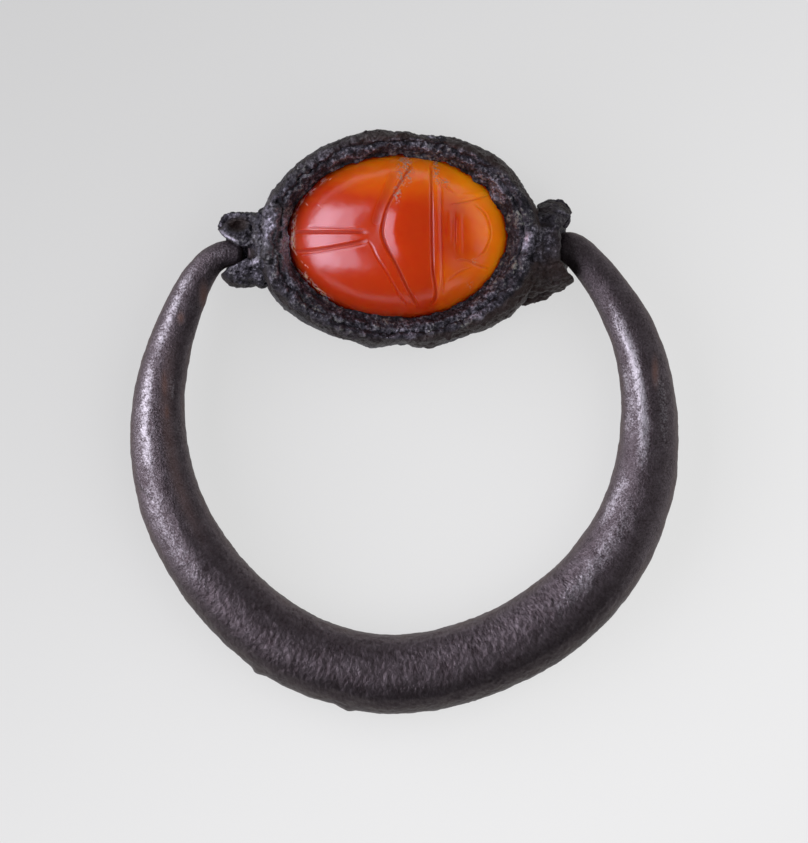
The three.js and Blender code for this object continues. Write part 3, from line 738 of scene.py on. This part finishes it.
# %% Hoop
middle_to_axis, bar_radius, half_at_foot, foot_turn = 8.96, 12.6, 2.04, 3
hoop_middle = np.array((0.0, pivot[1] - middle_to_axis))
bar = bench_copy("hoop", "hoop_bar")
lumps(bar, [((*spot(262, 669), 1.9), (0.45, 0.28, 0.8)), ((*spot(350, 706), 1.9), (0.5, 0.26, 0.8)),
            ((*spot(202, 296), 2.6), (0.2, 0.5, 0.6))])
skin(bar, 0.14, 8)
directions = np.empty(len(bar.data.polygons) * 3)
bar.data.polygons.foreach_get("normal", directions)
cut_finer(bar, directions[2::3] > 0.4)
work(bar, "SMOOTH", factor=0.5, iterations=3)


def round_the_hoop(places):
    """The angle from the foot in degrees, and the distance from the hoop's middle"""
    offset = places[:, :2] - hoop_middle
    return np.degrees(np.arctan2(offset[:, 0], -offset[:, 1])), np.linalg.norm(offset, axis=1)


outer_line = {-136: 0, -130: 0, -105: 0.05, -80: 0.06, -60: 0, -45: 0, -33: 0.08, -25: 0.09, -15: 0.02,
              -4: 0.13, 5: 0.07, 20: 0.01, 35: 0.07, 50: 0.17, 75: 0.15, 88: 0.06,
              100: 0.1, 115: 0.1, 125: -0.04, 130: -0.06, 136: 0}
inner_line = {-136: 0, -125: -0.11, -118: -0.08, -110: 0, -60: -0.05, -45: -0.02, -30: 0.06, 0: 0.05, 20: -0.02,
              35: -0.06, 50: 0.04, 65: 0.1, 90: 0.06, 108: 0.1, 120: 0.03, 130: 0, 136: 0}
places = points_of(bar)
angle, radius = round_the_hoop(places)
half = half_at_foot * np.cos(np.radians(angle - foot_turn) / 2)
outness = smoothstep(-1, 1, (radius - bar_radius) / half)
shift = (outness * np.interp(angle, list(outer_line), list(outer_line.values()))
         + (1 - outness) * np.interp(angle, list(inner_line), list(inner_line.values())))
places[:, :2] += (places[:, :2] - hoop_middle) / radius[:, None] * shift[:, None]
move_points(bar, places)
print("hoop:", triangles(bar), "triangles")

# %% [markdown]
# The rubbed places and the highlights of the limbs are drawn as lines with a width and a strength, and painted
# lighter together, as wear and painted highlight. The line on the right limb also raises a low ridge, as does one
# more on the left limb, because what stands up is what gets rubbed.

# %% Wear and crust of the hoop
# Wear and painted highlights: several lines follow where the limbs catch the left soft box and the right strip
wear_and_highlight_lines = [
    ([(206, 256), (190, 275), (174, 306), (162, 338), (152, 376)], 0.45, 0.65),
    ([(155, 340), (148, 385), (145, 420), (147, 450), (153, 495)], 0.5, 0.78),
    ([(150, 376), (145, 420), (149, 485)], 1.0, 0.4),
    ([(146, 440), (152, 490), (166, 528), (190, 568), (226, 610)], 0.9, 0.42),
    ([(600, 284), (617, 318), (630, 348), (638, 380), (643, 412), (643, 450), (636, 492)], 0.5, 0.9),
    ([(640, 478), (626, 515), (608, 545), (588, 575), (562, 602), (528, 622)], 0.9, 0.45),
    ([(622, 345), (630, 400), (628, 450)], 0.8, 0.42),
    ([(655, 365), (662, 395), (664, 425), (665, 458)], 0.4, 0.4),
    ([(630, 466), (619, 492), (606, 515), (594, 534)], 0.6, 0.5),
    ([(171, 372), (173, 390), (172, 404)], 0.22, 0.45),
    ([(208, 258), (222, 251), (240, 250)], 0.5, 0.4),
]
places, directions = points_of(bar), normals_of(bar)
top_side = smoothstep(0.25, 0.7, directions[:, 2])
wear_and_highlight_mask = np.max([strength * by_line(places, line, width, 0.3) for line, width, strength in wear_and_highlight_lines], axis=0)
wear_and_highlight_mask *= top_side
right_limb = wear_and_highlight_lines[4][0]
left_limb = [(158, 430), (168, 490), (186, 540), (206, 575)]
crest = by_line(places, right_limb, 0.9) + 0.6 * by_line(places, left_limb, 0.7)
crease = by_line(places, [(134, 484), (143, 494), (156, 504)], 0.2)
angle, radius = round_the_hoop(places)
foot = smoothstep(72, 42, np.abs(angle + 4))
streak_wide, streak_long = 0.22, 0.34
polar = np.stack([np.radians(angle) * radius / streak_wide, radius / streak_long, places[:, 2] / streak_long],
                 axis=1)
streaks = speckle(polar, 1.0, 31, 4) - 0.5
raised = 0.05 * crest * top_side - 0.07 * crease + foot * streaks * 0.045
move_points(bar, places + directions * raised[:, None])
crust(bar, [(2.6, 0.12, 13), (0.5, 0.07, 14), (0.24, 0.035, 19)])
rest_flat(bar)
# Painted shade: the low outer edge of the foot counts as facing up less and is painted darker
low_edge = foot * smoothstep(0.62, 0.95, outness)
tilt = directions[:, 2]
face_up = smoothstep(0.2, 0.85, tilt - 0.2 * low_edge * (tilt > 0.1))
# Where upward is low, the finish paints the hoop brown, as tarnish and as painted shade
paint(bar, "upward", face_up + 0.5 * smoothstep(0.25, -0.05, tilt))
# The limbs are painted lighter along these lines, as wear and painted highlight
paint(bar, "wear_and_highlight", wear_and_highlight_mask * (0.55 + 0.85 * speckle(places, 0.28, 33, 4)))
paint(bar, "crusted", foot)
paint(bar, "painted_edge_shade", 0.6 * low_edge)
brown_spots = [(165, 385, 0.3, 1.3), (167, 412, 0.25, 0.8), (181, 318, 0.3, 0.5), (204, 296, 0.4, 1.1),
               (655, 372, 0.3, 1.2)]
inner_brown = by_line(places, [(180, 318), (168, 372), (167, 420), (175, 470), (192, 520), (216, 562)], 0.5, 0.3)
brown_parts = [0.4 * inner_brown] + [0.85 * near(places, spot(x, y), (a, b)) for x, y, a, b in brown_spots]
paint(bar, "earth_and_shade", np.max(brown_parts, axis=0))
print("worn share of the hoop:", round(float((wear_and_highlight_mask > 0.3).mean()), 3))

# %% [markdown]
# ## Finishes
# Each finish is made of nodes, as big as the real grain: a Mapping node turns metres to millimetres, so that a
# noise Scale of 10 makes grains of a tenth of a millimetre. A grain below a pixel of the picture, 0.05 mm, would
# be lost, so the finest are drawn at 0.1 to 0.14 mm, as coarse as they need to show.
# Some sockets go by number. In a Mix node that is set to RGBA, 0 is the share, 6 and 7 are the two colours, and
# output 2 is the mixed one. In a Map Range node, 1 and 2 are the range that comes in, 3 and 4 what it becomes.

# %% Finish tools
def linear(code):
    """A colour written as on paper, in hex, turned to the linear light that the shader works in"""
    parts = [int(code[i : i + 2], 16) / 255 for i in (1, 3, 5)]
    return [*(p / 12.92 if p <= 0.04045 else ((p + 0.055) / 1.055) ** 2.4 for p in parts), 1.0]


def add(tree, kind, settings={}, inputs={}):
    """Adds one node. Each input is a value, or the output of another node that it is linked to."""
    made = tree.nodes.new(kind)
    for key, value in settings.items():
        setattr(made, key, value)
    for key, value in inputs.items():
        if isinstance(value, bpy.types.NodeSocket):
            tree.links.new(value, made.inputs[key])
        else:
            made.inputs[key].default_value = value
    return made


def new_finish(name):
    """An empty material, and the place on the piece in millimetres"""
    finish = bpy.data.materials.new(name)
    finish.use_nodes = True
    tree = finish.node_tree
    tree.nodes.clear()
    place = add(tree, "ShaderNodeTexCoord").outputs["Object"]
    in_mm = add(tree, "ShaderNodeMapping", inputs={"Vector": place, "Scale": (1000, 1000, 1000)}).outputs[0]
    return finish, tree, in_mm


RGBA, SMOOTHSTEP = {"data_type": "RGBA"}, {"interpolation_type": "SMOOTHSTEP"}
MULTIPLY, MULTIPLY_ADD = {"operation": "MULTIPLY"}, {"operation": "MULTIPLY_ADD"}
print("white is", linear("#ffffff")[:3])

# %% [markdown]
# Carnelian is a quartz as fine as glass, ground with emery and polished, so light goes a millimetre into it and
# its highlights are broad and soft. Its colour runs from blood red at the left to amber at the right, which
# the painted numbers steer.

# %% Carnelian
carnelian, tree, in_mm = new_finish("carnelian_ground_and_polished")
amber_share, furrow_share, deposit_share, chip_share = (
    add(tree, "ShaderNodeAttribute", {"attribute_name": name}).outputs["Fac"]
    for name in ("amber", "furrow", "deposit", "chipped"))
earth_grain, smears_per_mm, chips_per_mm, scuffs_per_mm = 0.14, 3.5, 5.0, 3.0
low_part = add(tree, "ShaderNodeMapRange", inputs={0: amber_share, 1: 0.1, 2: 0.42}).outputs[0]
high_part = add(tree, "ShaderNodeMapRange", inputs={0: amber_share, 1: 0.42, 2: 1.0}).outputs[0]
body = add(tree, "ShaderNodeMix", RGBA, {0: low_part, 6: linear("#ac2d07"), 7: linear("#b63503")}).outputs[2]
body = add(tree, "ShaderNodeMix", RGBA, {0: high_part, 6: body, 7: linear("#ff8e00")}).outputs[2]
# Painted shade: the furrows are painted a darker red, for the shade that falls in them
painted_furrow_shade = add(tree, "ShaderNodeMath", MULTIPLY, {0: furrow_share, 1: 0.5}).outputs[0]
body = add(tree, "ShaderNodeMix", RGBA, {0: painted_furrow_shade, 6: body, 7: linear("#801c04")}).outputs[2]
crumb = add(tree, "ShaderNodeTexVoronoi", inputs={"Vector": in_mm, "Scale": 1 / earth_grain}).outputs["Distance"]
scatter = add(tree, "ShaderNodeTexNoise",
              inputs={"Vector": in_mm, "Scale": smears_per_mm, "Detail": 4.0}).outputs[0]
crumb = add(tree, "ShaderNodeMath", {"operation": "SUBTRACT"}, {0: scatter, 1: crumb}).outputs[0]
crumb = add(tree, "ShaderNodeMapRange", SMOOTHSTEP, {0: crumb, 1: -0.1, 2: 0.14}).outputs[0]
soiled = add(tree, "ShaderNodeMapRange", inputs={0: deposit_share, 1: 0.05, 2: 0.45, 3: 0.0, 4: 0.85}).outputs[0]
crumb = add(tree, "ShaderNodeMath", MULTIPLY, {0: crumb, 1: soiled}).outputs[0]
colour = add(tree, "ShaderNodeMix", RGBA, {0: crumb, 6: body, 7: linear("#937a72")}).outputs[2]
chip = add(tree, "ShaderNodeTexNoise", inputs={"Vector": in_mm, "Scale": chips_per_mm, "Detail": 3.0}).outputs[0]
chip = add(tree, "ShaderNodeMapRange", inputs={0: chip, 1: 0.42, 2: 0.55}).outputs[0]
chip = add(tree, "ShaderNodeMath", MULTIPLY, {0: chip_share, 1: chip}).outputs[0]
colour = add(tree, "ShaderNodeMix", RGBA, {0: chip, 6: colour, 7: linear("#efd2c8")}).outputs[2]
print("carnelian, its colour:", len(tree.nodes), "nodes")

# %% [markdown]
# The polish is glassy on the open back and duller in the furrows, where the polisher didn't reach, and on crumbs
# of earth. Fine scuffs break up the highlights, and light that comes out again at the thin edges makes them glow.

# %% Polish of the carnelian
worked = add(tree, "ShaderNodeMath", {"operation": "MAXIMUM"}, {0: crumb, 1: furrow_share}).outputs[0]
rough = add(tree, "ShaderNodeMapRange", inputs={0: worked, 1: 0.0, 2: 0.8, 3: 0.22, 4: 0.5}).outputs[0]
polish = add(tree, "ShaderNodeMapRange", inputs={0: worked, 1: 0.0, 2: 0.8, 3: 0.95, 4: 0.3}).outputs[0]
scuffs = add(tree, "ShaderNodeTexNoise",
             inputs={"Vector": in_mm, "Scale": scuffs_per_mm, "Detail": 3.0}).outputs[0]
bump = add(tree, "ShaderNodeBump", inputs={"Strength": 0.2, "Distance": 0.00003, "Height": scuffs}).outputs[0]
bump = add(tree, "ShaderNodeBump",
           inputs={"Strength": 0.8, "Distance": 0.00004, "Height": crumb, "Normal": bump}).outputs[0]
shader = add(tree, "ShaderNodeBsdfPrincipled", inputs={
    "Base Color": colour, "Roughness": rough, "IOR": 1.54, "Specular IOR Level": polish, "Subsurface Weight": 1.0,
    "Subsurface Radius": (1.0, 0.35, 0.1), "Subsurface Scale": 0.003,
    "Specular Tint": linear("#e2eaff"), "Normal": bump})
add(tree, "ShaderNodeOutputMaterial", inputs={"Surface": shader.outputs[0]})
print("carnelian:", len(tree.nodes), "nodes")

# %% [markdown]
# Silver that lay in wet earth turns to horn silver, a grey crust of fine nodules with metal still glinting
# between them. What stands up and faces up is painted grey and lighter, and what lies deep is painted nearly
# black, as painted light and shade. The steep sides are painted brown, as earth and as shade. A rubbed place
# shows smooth metal, and the same mark paints glints where the crust catches the lamp.

# %% Crusted silver
crusted, tree, in_mm = new_finish("silver_crusted_with_horn_silver")
wear_and_highlight, earth_and_shade, relief, upward = (
    add(tree, "ShaderNodeAttribute", {"attribute_name": name}).outputs["Fac"]
    for name in ("wear_and_highlight", "earth_and_shade", "relief", "upward"))
grit_size, nodule_size, cloud_size, stain_size = 0.14, 0.22, 0.7, 1.6
grit, clouds = (
    add(tree, "ShaderNodeTexNoise",
        inputs={"Vector": in_mm, "Scale": 1 / size, "Detail": 3.0, "Roughness": uneven}).outputs[0]
    for size, uneven in ((grit_size, 0.75), (cloud_size, 0.6)))
nodules = add(tree, "ShaderNodeTexVoronoi", inputs={"Vector": in_mm, "Scale": 1 / nodule_size}).outputs["Distance"]
# Painted light and shade: what stands up and faces up is made lighter, what lies deep or turns aside darker
tone = add(tree, "ShaderNodeMath", MULTIPLY_ADD, {0: relief, 1: 0.4, 2: clouds}).outputs[0]
tone = add(tree, "ShaderNodeMath", MULTIPLY_ADD, {0: grit, 1: 2.2, 2: tone}).outputs[0]
tone = add(tree, "ShaderNodeMath", MULTIPLY_ADD, {0: nodules, 1: -0.35, 2: tone}).outputs[0]
tone = add(tree, "ShaderNodeMapRange", inputs={0: tone, 1: 1.25, 2: 2.15}).outputs[0]
tone = add(tree, "ShaderNodeMath", MULTIPLY, {0: tone, 1: upward}).outputs[0]
dark_part = add(tree, "ShaderNodeMapRange", inputs={0: tone, 1: 0.0, 2: 0.5}).outputs[0]
light_part = add(tree, "ShaderNodeMapRange", inputs={0: tone, 1: 0.5, 2: 1.0}).outputs[0]
# Wear and painted glints make the crust lighter, broken by its grit
wear_and_highlight_grain = add(tree, "ShaderNodeMapRange", inputs={0: grit, 1: 0.38, 2: 0.62, 3: 0.35, 4: 1.0}).outputs[0]
light_part = add(tree, "ShaderNodeMath", {"operation": "MULTIPLY_ADD", "use_clamp": True},
                 {0: wear_and_highlight, 1: wear_and_highlight_grain, 2: light_part}).outputs[0]
colour = add(tree, "ShaderNodeMix", RGBA, {0: dark_part, 6: linear("#232126"), 7: linear("#45424b")}).outputs[2]
tint = add(tree, "ShaderNodeTexNoise", inputs={"Vector": in_mm, "Scale": 1 / stain_size, "Detail": 2.0}).outputs[0]
tint = add(tree, "ShaderNodeMapRange", inputs={0: tint, 1: 0.45, 2: 0.62}).outputs[0]
bloom = add(tree, "ShaderNodeMix", RGBA, {0: tint, 6: linear("#9793a0"), 7: linear("#8c8d86")}).outputs[2]
bloom = add(tree, "ShaderNodeMix", RGBA, {0: wear_and_highlight, 6: bloom, 7: linear("#a8a2b2")}).outputs[2]
colour = add(tree, "ShaderNodeMix", RGBA, {0: light_part, 6: colour, 7: bloom}).outputs[2]
# Painted shade: steep sides that face up less are painted brown, as earth and as shade
side = add(tree, "ShaderNodeMapRange", inputs={0: upward, 1: 0.0, 2: 0.55, 3: 0.85, 4: 0.0}).outputs[0]
patchy = add(tree, "ShaderNodeMapRange", inputs={0: clouds, 1: 0.36, 2: 0.6, 3: 0.4, 4: 1.0}).outputs[0]
side = add(tree, "ShaderNodeMath", MULTIPLY, {0: side, 1: patchy}).outputs[0]
brown = add(tree, "ShaderNodeMath", {"operation": "MAXIMUM"}, {0: side, 1: earth_and_shade}).outputs[0]
soil_and_shade = add(tree, "ShaderNodeMix", RGBA, {0: grit, 6: linear("#140f10"), 7: linear("#3a2c2a")}).outputs[2]
colour = add(tree, "ShaderNodeMix", RGBA, {0: brown, 6: colour, 7: soil_and_shade}).outputs[2]
print("crusted silver, its colour:", len(tree.nodes), "nodes")

# %% [markdown]
# Under the brown there is little bare metal, so it is less metallic and stays dull. The nodules and the grit
# stand up from it, which scatters the highlights into fine glints, but less so where wear and painted glints lie.

# %% Surface of the crusted silver
metal = add(tree, "ShaderNodeMapRange", inputs={0: brown, 1: 0.0, 2: 1.0, 3: 0.75, 4: 0.3}).outputs[0]
rough = add(tree, "ShaderNodeMapRange", inputs={0: light_part, 1: 0.0, 2: 1.0, 3: 0.5, 4: 0.32}).outputs[0]
standing = add(tree, "ShaderNodeMapRange", inputs={0: wear_and_highlight, 1: 0.0, 2: 1.0, 3: 1.0, 4: 0.2}).outputs[0]
bump = add(tree, "ShaderNodeBump", {"invert": True},
           {"Strength": standing, "Distance": 0.00005, "Height": nodules}).outputs[0]
bump = add(tree, "ShaderNodeBump",
           inputs={"Strength": standing, "Distance": 0.0001, "Height": grit, "Normal": bump}).outputs[0]
shader = add(tree, "ShaderNodeBsdfPrincipled",
             inputs={"Base Color": colour, "Metallic": metal, "Roughness": rough, "Normal": bump})
add(tree, "ShaderNodeOutputMaterial", inputs={"Surface": shader.outputs[0]})
print("crusted silver:", len(tree.nodes), "nodes")

# %% [markdown]
# The hoop is silver with a thin dark tarnish. It was handled, so the tarnish is rubbed through in fine
# speckles along the limbs, where highlights are painted lighter too. It is painted brown on the flanks, as tarnish
# and as shade, darker still at the foot's low edge as painted shade, and carries short radial streaks of crust
# at the foot.
# The streaks run towards the middle of the hoop, so their noise is laid on the angle and the distance.

# %% Worn silver
tarnished, tree, in_mm = new_finish("silver_tarnished_and_worn")
wear_and_highlight, earth_and_shade, upward, foot_crust, edge_shade = (
    add(tree, "ShaderNodeAttribute", {"attribute_name": name}).outputs["Fac"]
    for name in ("wear_and_highlight", "earth_and_shade", "upward", "crusted", "painted_edge_shade"))
grain_size, film_size, streak_width, streak_length = 0.1, 0.8, 0.14, 0.26
apart = add(tree, "ShaderNodeSeparateXYZ", inputs={0: in_mm})
below = add(tree, "ShaderNodeMath", {"operation": "SUBTRACT"},
            {0: float(hoop_middle[1]), 1: apart.outputs[1]}).outputs[0]
round_angle = add(tree, "ShaderNodeMath", {"operation": "ARCTAN2"}, {0: apart.outputs[0], 1: below}).outputs[0]
flat_place = add(tree, "ShaderNodeCombineXYZ", inputs={0: apart.outputs[0], 1: below}).outputs[0]
reach = add(tree, "ShaderNodeVectorMath", {"operation": "LENGTH"}, {0: flat_place}).outputs["Value"]
unrolled = add(tree, "ShaderNodeCombineXYZ", inputs={0: round_angle, 1: reach, 2: apart.outputs[2]}).outputs[0]
stretch = (bar_radius / streak_width, 1 / streak_length, 1 / streak_length)
unrolled = add(tree, "ShaderNodeMapping", inputs={"Vector": unrolled, "Scale": stretch}).outputs[0]
streak, grain, film = (
    add(tree, "ShaderNodeTexNoise",
        inputs={"Vector": place, "Scale": scale, "Detail": detail, "Roughness": uneven}).outputs[0]
    for place, scale, detail, uneven in (
        (unrolled, 1.0, 3.0, 0.6), (in_mm, 1 / grain_size, 3.0, 0.65), (in_mm, 1 / film_size, 5.0, 0.65)))
mixed_grain = add(tree, "ShaderNodeMix", inputs={0: foot_crust, 2: grain, 3: streak}).outputs[0]
tone = add(tree, "ShaderNodeMath", MULTIPLY_ADD, {0: mixed_grain, 1: 1.4, 2: film}).outputs[0]
tone = add(tree, "ShaderNodeMapRange", inputs={0: tone, 1: 0.8, 2: 1.6}).outputs[0]
colour = add(tree, "ShaderNodeMix", RGBA, {0: tone, 6: linear("#463c40"), 7: linear("#736a70")}).outputs[2]
# Wear and painted highlight: the limbs are painted light where they are rubbed and where they catch the lamps
rubbed_and_highlight = add(tree, "ShaderNodeMath", MULTIPLY_ADD, {0: grain, 1: 1.5, 2: wear_and_highlight}).outputs[0]
rubbed_and_highlight = add(tree, "ShaderNodeMath", MULTIPLY_ADD, {0: film, 1: 0.5, 2: rubbed_and_highlight}).outputs[0]
rubbed_and_highlight = add(tree, "ShaderNodeMapRange", SMOOTHSTEP, {0: rubbed_and_highlight, 1: 1.15, 2: 2.05}).outputs[0]
colour = add(tree, "ShaderNodeMix", RGBA, {0: rubbed_and_highlight, 6: colour, 7: linear("#aca7ae")}).outputs[2]
# Painted shade: flanks that face up less are painted brown, as tarnish and as shade
side = add(tree, "ShaderNodeMapRange", inputs={0: upward, 1: 0.0, 2: 0.7, 3: 1.0, 4: 0.0}).outputs[0]
patchy = add(tree, "ShaderNodeMapRange", inputs={0: film, 1: 0.36, 2: 0.6, 3: 0.35, 4: 1.0}).outputs[0]
side = add(tree, "ShaderNodeMath", MULTIPLY, {0: side, 1: patchy}).outputs[0]
brown = add(tree, "ShaderNodeMath", {"operation": "MAXIMUM"}, {0: side, 1: earth_and_shade}).outputs[0]
colour = add(tree, "ShaderNodeMix", RGBA, {0: side, 6: colour, 7: linear("#40302d")}).outputs[2]
colour = add(tree, "ShaderNodeMix", RGBA, {0: earth_and_shade, 6: colour, 7: linear("#543a33")}).outputs[2]
# Painted shade: the low edge of the foot is painted nearly black
colour = add(tree, "ShaderNodeMix", RGBA, {0: edge_shade, 6: colour, 7: linear("#1d1819")}).outputs[2]
print("worn silver, its colour:", len(tree.nodes), "nodes")

# %% [markdown]
# Where the hoop is rubbed and painted with highlights it is flatter and a little glossier, so its highlights run
# together there, and stay matte and broken on the tarnish.

# %% Surface of the worn silver
metal = add(tree, "ShaderNodeMapRange", inputs={0: brown, 1: 0.0, 2: 1.0, 3: 0.9, 4: 0.25}).outputs[0]
rough = add(tree, "ShaderNodeMapRange", inputs={0: rubbed_and_highlight, 1: 0.0, 2: 1.0, 3: 0.52, 4: 0.44}).outputs[0]
rubbed_flat = add(tree, "ShaderNodeMapRange", inputs={0: rubbed_and_highlight, 1: 0.0, 2: 1.0, 3: 1.0, 4: 0.4}).outputs[0]
bump = add(tree, "ShaderNodeBump",
           inputs={"Strength": rubbed_flat, "Distance": 0.00005, "Height": mixed_grain}).outputs[0]
bump = add(tree, "ShaderNodeBump",
           inputs={"Strength": 1.0, "Distance": 0.00003, "Height": film, "Normal": bump}).outputs[0]
shader = add(tree, "ShaderNodeBsdfPrincipled",
             inputs={"Base Color": colour, "Metallic": metal, "Roughness": rough, "Normal": bump})
add(tree, "ShaderNodeOutputMaterial", inputs={"Surface": shader.outputs[0]})
print("worn silver:", len(tree.nodes), "nodes")

# %% [markdown]
# The bedding is resin mixed with earth, dried hard and dull brown. It shows only as a crumbly line where the
# lip doesn't reach the stone.

# %% Bedding paste
paste, tree, in_mm = new_finish("resin_and_earth_dried")
sand_per_mm = 6.0
sand = add(tree, "ShaderNodeTexNoise", inputs={"Vector": in_mm, "Scale": sand_per_mm, "Detail": 5.0}).outputs[0]
colour = add(tree, "ShaderNodeMix", RGBA, {0: sand, 6: linear("#3a3028"), 7: linear("#6b5c4c")}).outputs[2]
bump = add(tree, "ShaderNodeBump", inputs={"Strength": 1.0, "Distance": 0.00005, "Height": sand}).outputs[0]
shader = add(tree, "ShaderNodeBsdfPrincipled", inputs={"Base Color": colour, "Roughness": 0.9, "Normal": bump})
add(tree, "ShaderNodeOutputMaterial", inputs={"Surface": shader.outputs[0]})
print("bedding paste:", len(tree.nodes), "nodes")

# %% [markdown]
# ## Off the bench
# Each piece gets its finish, is shrunk from bench millimetres to metres, and is handed to its body: the setting
# turns as one, and the hoop is the other half of the hinge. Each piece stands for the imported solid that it
# was made over.

# %% Off the bench
hand_over = [
    (stone, carnelian, "scarab", "bezel", "carnelian"),
    (bedding, paste, "bedding_paste", "bezel", "bedding_paste"),
    (collar, crusted, "setting_collar", "bezel", "crusted_silver"),
    (back_strip, crusted, "back_lip", "bezel", "crusted_silver"),
    (outer, crusted, "outer_frame", "bezel", "crusted_silver"),
    (wire, tarnished, "stone_wire", "bezel", "worn_silver"),
    (left, crusted, "left_cup", "bezel", "crusted_silver"),
    (right, crusted, "right_cup", "bezel", "crusted_silver"),
    (bar, tarnished, "hoop", "hoop", "worn_silver"),
]
for piece, finish, node, body_name, slot in hand_over:
    take(piece)
    bpy.ops.object.shade_smooth()
    piece.data.transform(Matrix.Scale(MM, 4))
    piece.data.materials.clear()
    piece.data.materials.append(finish)
    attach(piece, body_name)
    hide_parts(node)
    print(piece.name, "rides on", body_name, "and stands for", node)

# %% [markdown]
# ## The floor
# The ring lies on a pale grey board, painted lighter towards the front right as painted light. The board is a
# little bright by itself to the camera and in reflections, so that it keeps its grey, and the rest of it is a
# matte face that takes the ring's soft shadow.

# %% Floor
bpy.ops.object.select_all(action="DESELECT")
board_size, own_light = 1.6, 0.8
bpy.ops.mesh.primitive_plane_add(size=board_size, location=(0, 0, 0))
floor = bpy.context.object
floor.name = "floor"
board, tree, in_mm = new_finish("board_pale_grey")
across = add(tree, "ShaderNodeSeparateXYZ", inputs={0: in_mm})
# Painted light: the board is painted lighter towards the front right, as a fall of light
slant = add(tree, "ShaderNodeMath", MULTIPLY_ADD,
            {0: across.outputs[1], 1: -1.5, 2: across.outputs[0]}).outputs[0]
slant = add(tree, "ShaderNodeMapRange", SMOOTHSTEP, {0: slant, 1: -75.0, 2: 50.0}).outputs[0]
grey = add(tree, "ShaderNodeMix", RGBA,
           {0: slant, 6: linear("#c9c9c9"), 7: linear("#e9e9e9")}).outputs[2]
seen = add(tree, "ShaderNodeLightPath")
rays = add(tree, "ShaderNodeMath", {"operation": "ADD"},
           {0: seen.outputs["Is Camera Ray"], 1: seen.outputs["Is Glossy Ray"]}).outputs[0]
rays = add(tree, "ShaderNodeMath", {"operation": "ADD"},
           {0: rays, 1: seen.outputs["Is Transmission Ray"]}).outputs[0]
rays = add(tree, "ShaderNodeMath", MULTIPLY, {0: rays, 1: own_light}).outputs[0]
glow = add(tree, "ShaderNodeEmission", inputs={"Color": grey, "Strength": 1.0}).outputs[0]
matte = add(tree, "ShaderNodeBsdfDiffuse", inputs={"Color": grey}).outputs[0]
surface = add(tree, "ShaderNodeMixShader", inputs={0: rays, 1: matte, 2: glow}).outputs[0]
add(tree, "ShaderNodeOutputMaterial", inputs={"Surface": surface})
floor.data.materials.append(board)
print("floor:", tuple(round(v, 2) for v in floor.dimensions))

# %% [markdown]
# ## The light
# A large soft box stands low at the left and behind, and gives the long highlights on the stone and the hoop.
# Its lower half is the brighter one, so its reflection fades upwards. A low strip at the right draws the edge
# of the hoop. A veil of light from above the right brightens the stone, but is kept out of reflections, as a
# crossed polariser does it in a studio, so the amber stays deep in colour.

# %% Light
world = bpy.data.worlds.new("studio")
bpy.context.scene.world = world
world.use_nodes = True
world.node_tree.nodes.clear()
room_light = 0.045
room = add(world.node_tree, "ShaderNodeBackground", inputs={"Color": linear("#ffffff"), "Strength": room_light})
add(world.node_tree, "ShaderNodeOutputWorld", inputs={"Surface": room.outputs[0]})


def soft_box(name, azimuth, elevation, distance, width, height, power, colour):
    """A soft box that looks at the ring. Azimuth 0 is to the right of the ring and 90 is behind it."""
    light = bpy.data.lights.new(name, "AREA")
    light.shape = "RECTANGLE"
    light.size, light.size_y, light.energy, light.color = width, height, power, linear(colour)[:3]
    lamp = bpy.data.objects.new(name, light)
    bpy.context.collection.objects.link(lamp)
    a, e = math.radians(azimuth), math.radians(elevation)
    away = Vector((math.cos(a) * math.cos(e), math.sin(a) * math.cos(e), math.sin(e)))
    lamp.location = away * distance
    lamp.rotation_euler = away.to_track_quat("Z", "Y").to_euler()
    print(name, "is", width, "by", height, "m")
    return lamp


# Each has its azimuth and elevation in degrees, distance, width and height in metres, and power in watts
soft_box("box_left", 176, 33, 0.4, 0.68, 0.44, 2.3, "#f8f6ff")
soft_box("box_left_core", 178, 21, 0.41, 0.56, 0.24, 0.8, "#f8f6ff")
soft_box("box_right", 12, 14, 0.4, 0.8, 0.14, 0.12, "#ffffff")
veil = soft_box("veil_right", -2, 52, 0.5, 0.7, 0.6, 3.0, "#ffffff")
veil.visible_glossy = False

# %% [markdown]
# ## The camera
# The camera looks straight down from half a metre with a long lens, because the ring was photographed flat. It is
# turned by the slope of the swivel axis. Its frame is as high as the picture, at 3.2 mm above the board.

# %% Camera
scene = bpy.context.scene
scene.view_settings.view_transform = "Standard"
camera = bpy.data.cameras.new("camera")
camera.lens, camera.sensor_width = 400, 36
viewer = bpy.data.objects.new("camera", camera)
bpy.context.collection.objects.link(viewer)
picture_width, picture_height, level = 808, 843, 0.0032
frame_height = picture_height * pixel * MM
middle = spot(picture_width / 2, picture_height / 2)
distance = frame_height * camera.lens / camera.sensor_width
right_way = Vector((math.cos(slope), -math.sin(slope), 0))
up_way = Vector((math.sin(slope), math.cos(slope), 0))
viewer.matrix_world = Matrix.Translation((middle[0] * MM, middle[1] * MM, level + distance)) @ Matrix(
    (right_way, up_way, (0, 0, 1))).transposed().to_4x4()
camera.clip_start, camera.clip_end = 0.01, 10
scene.camera = viewer
print("camera at", [round(v, 4) for v in viewer.location])
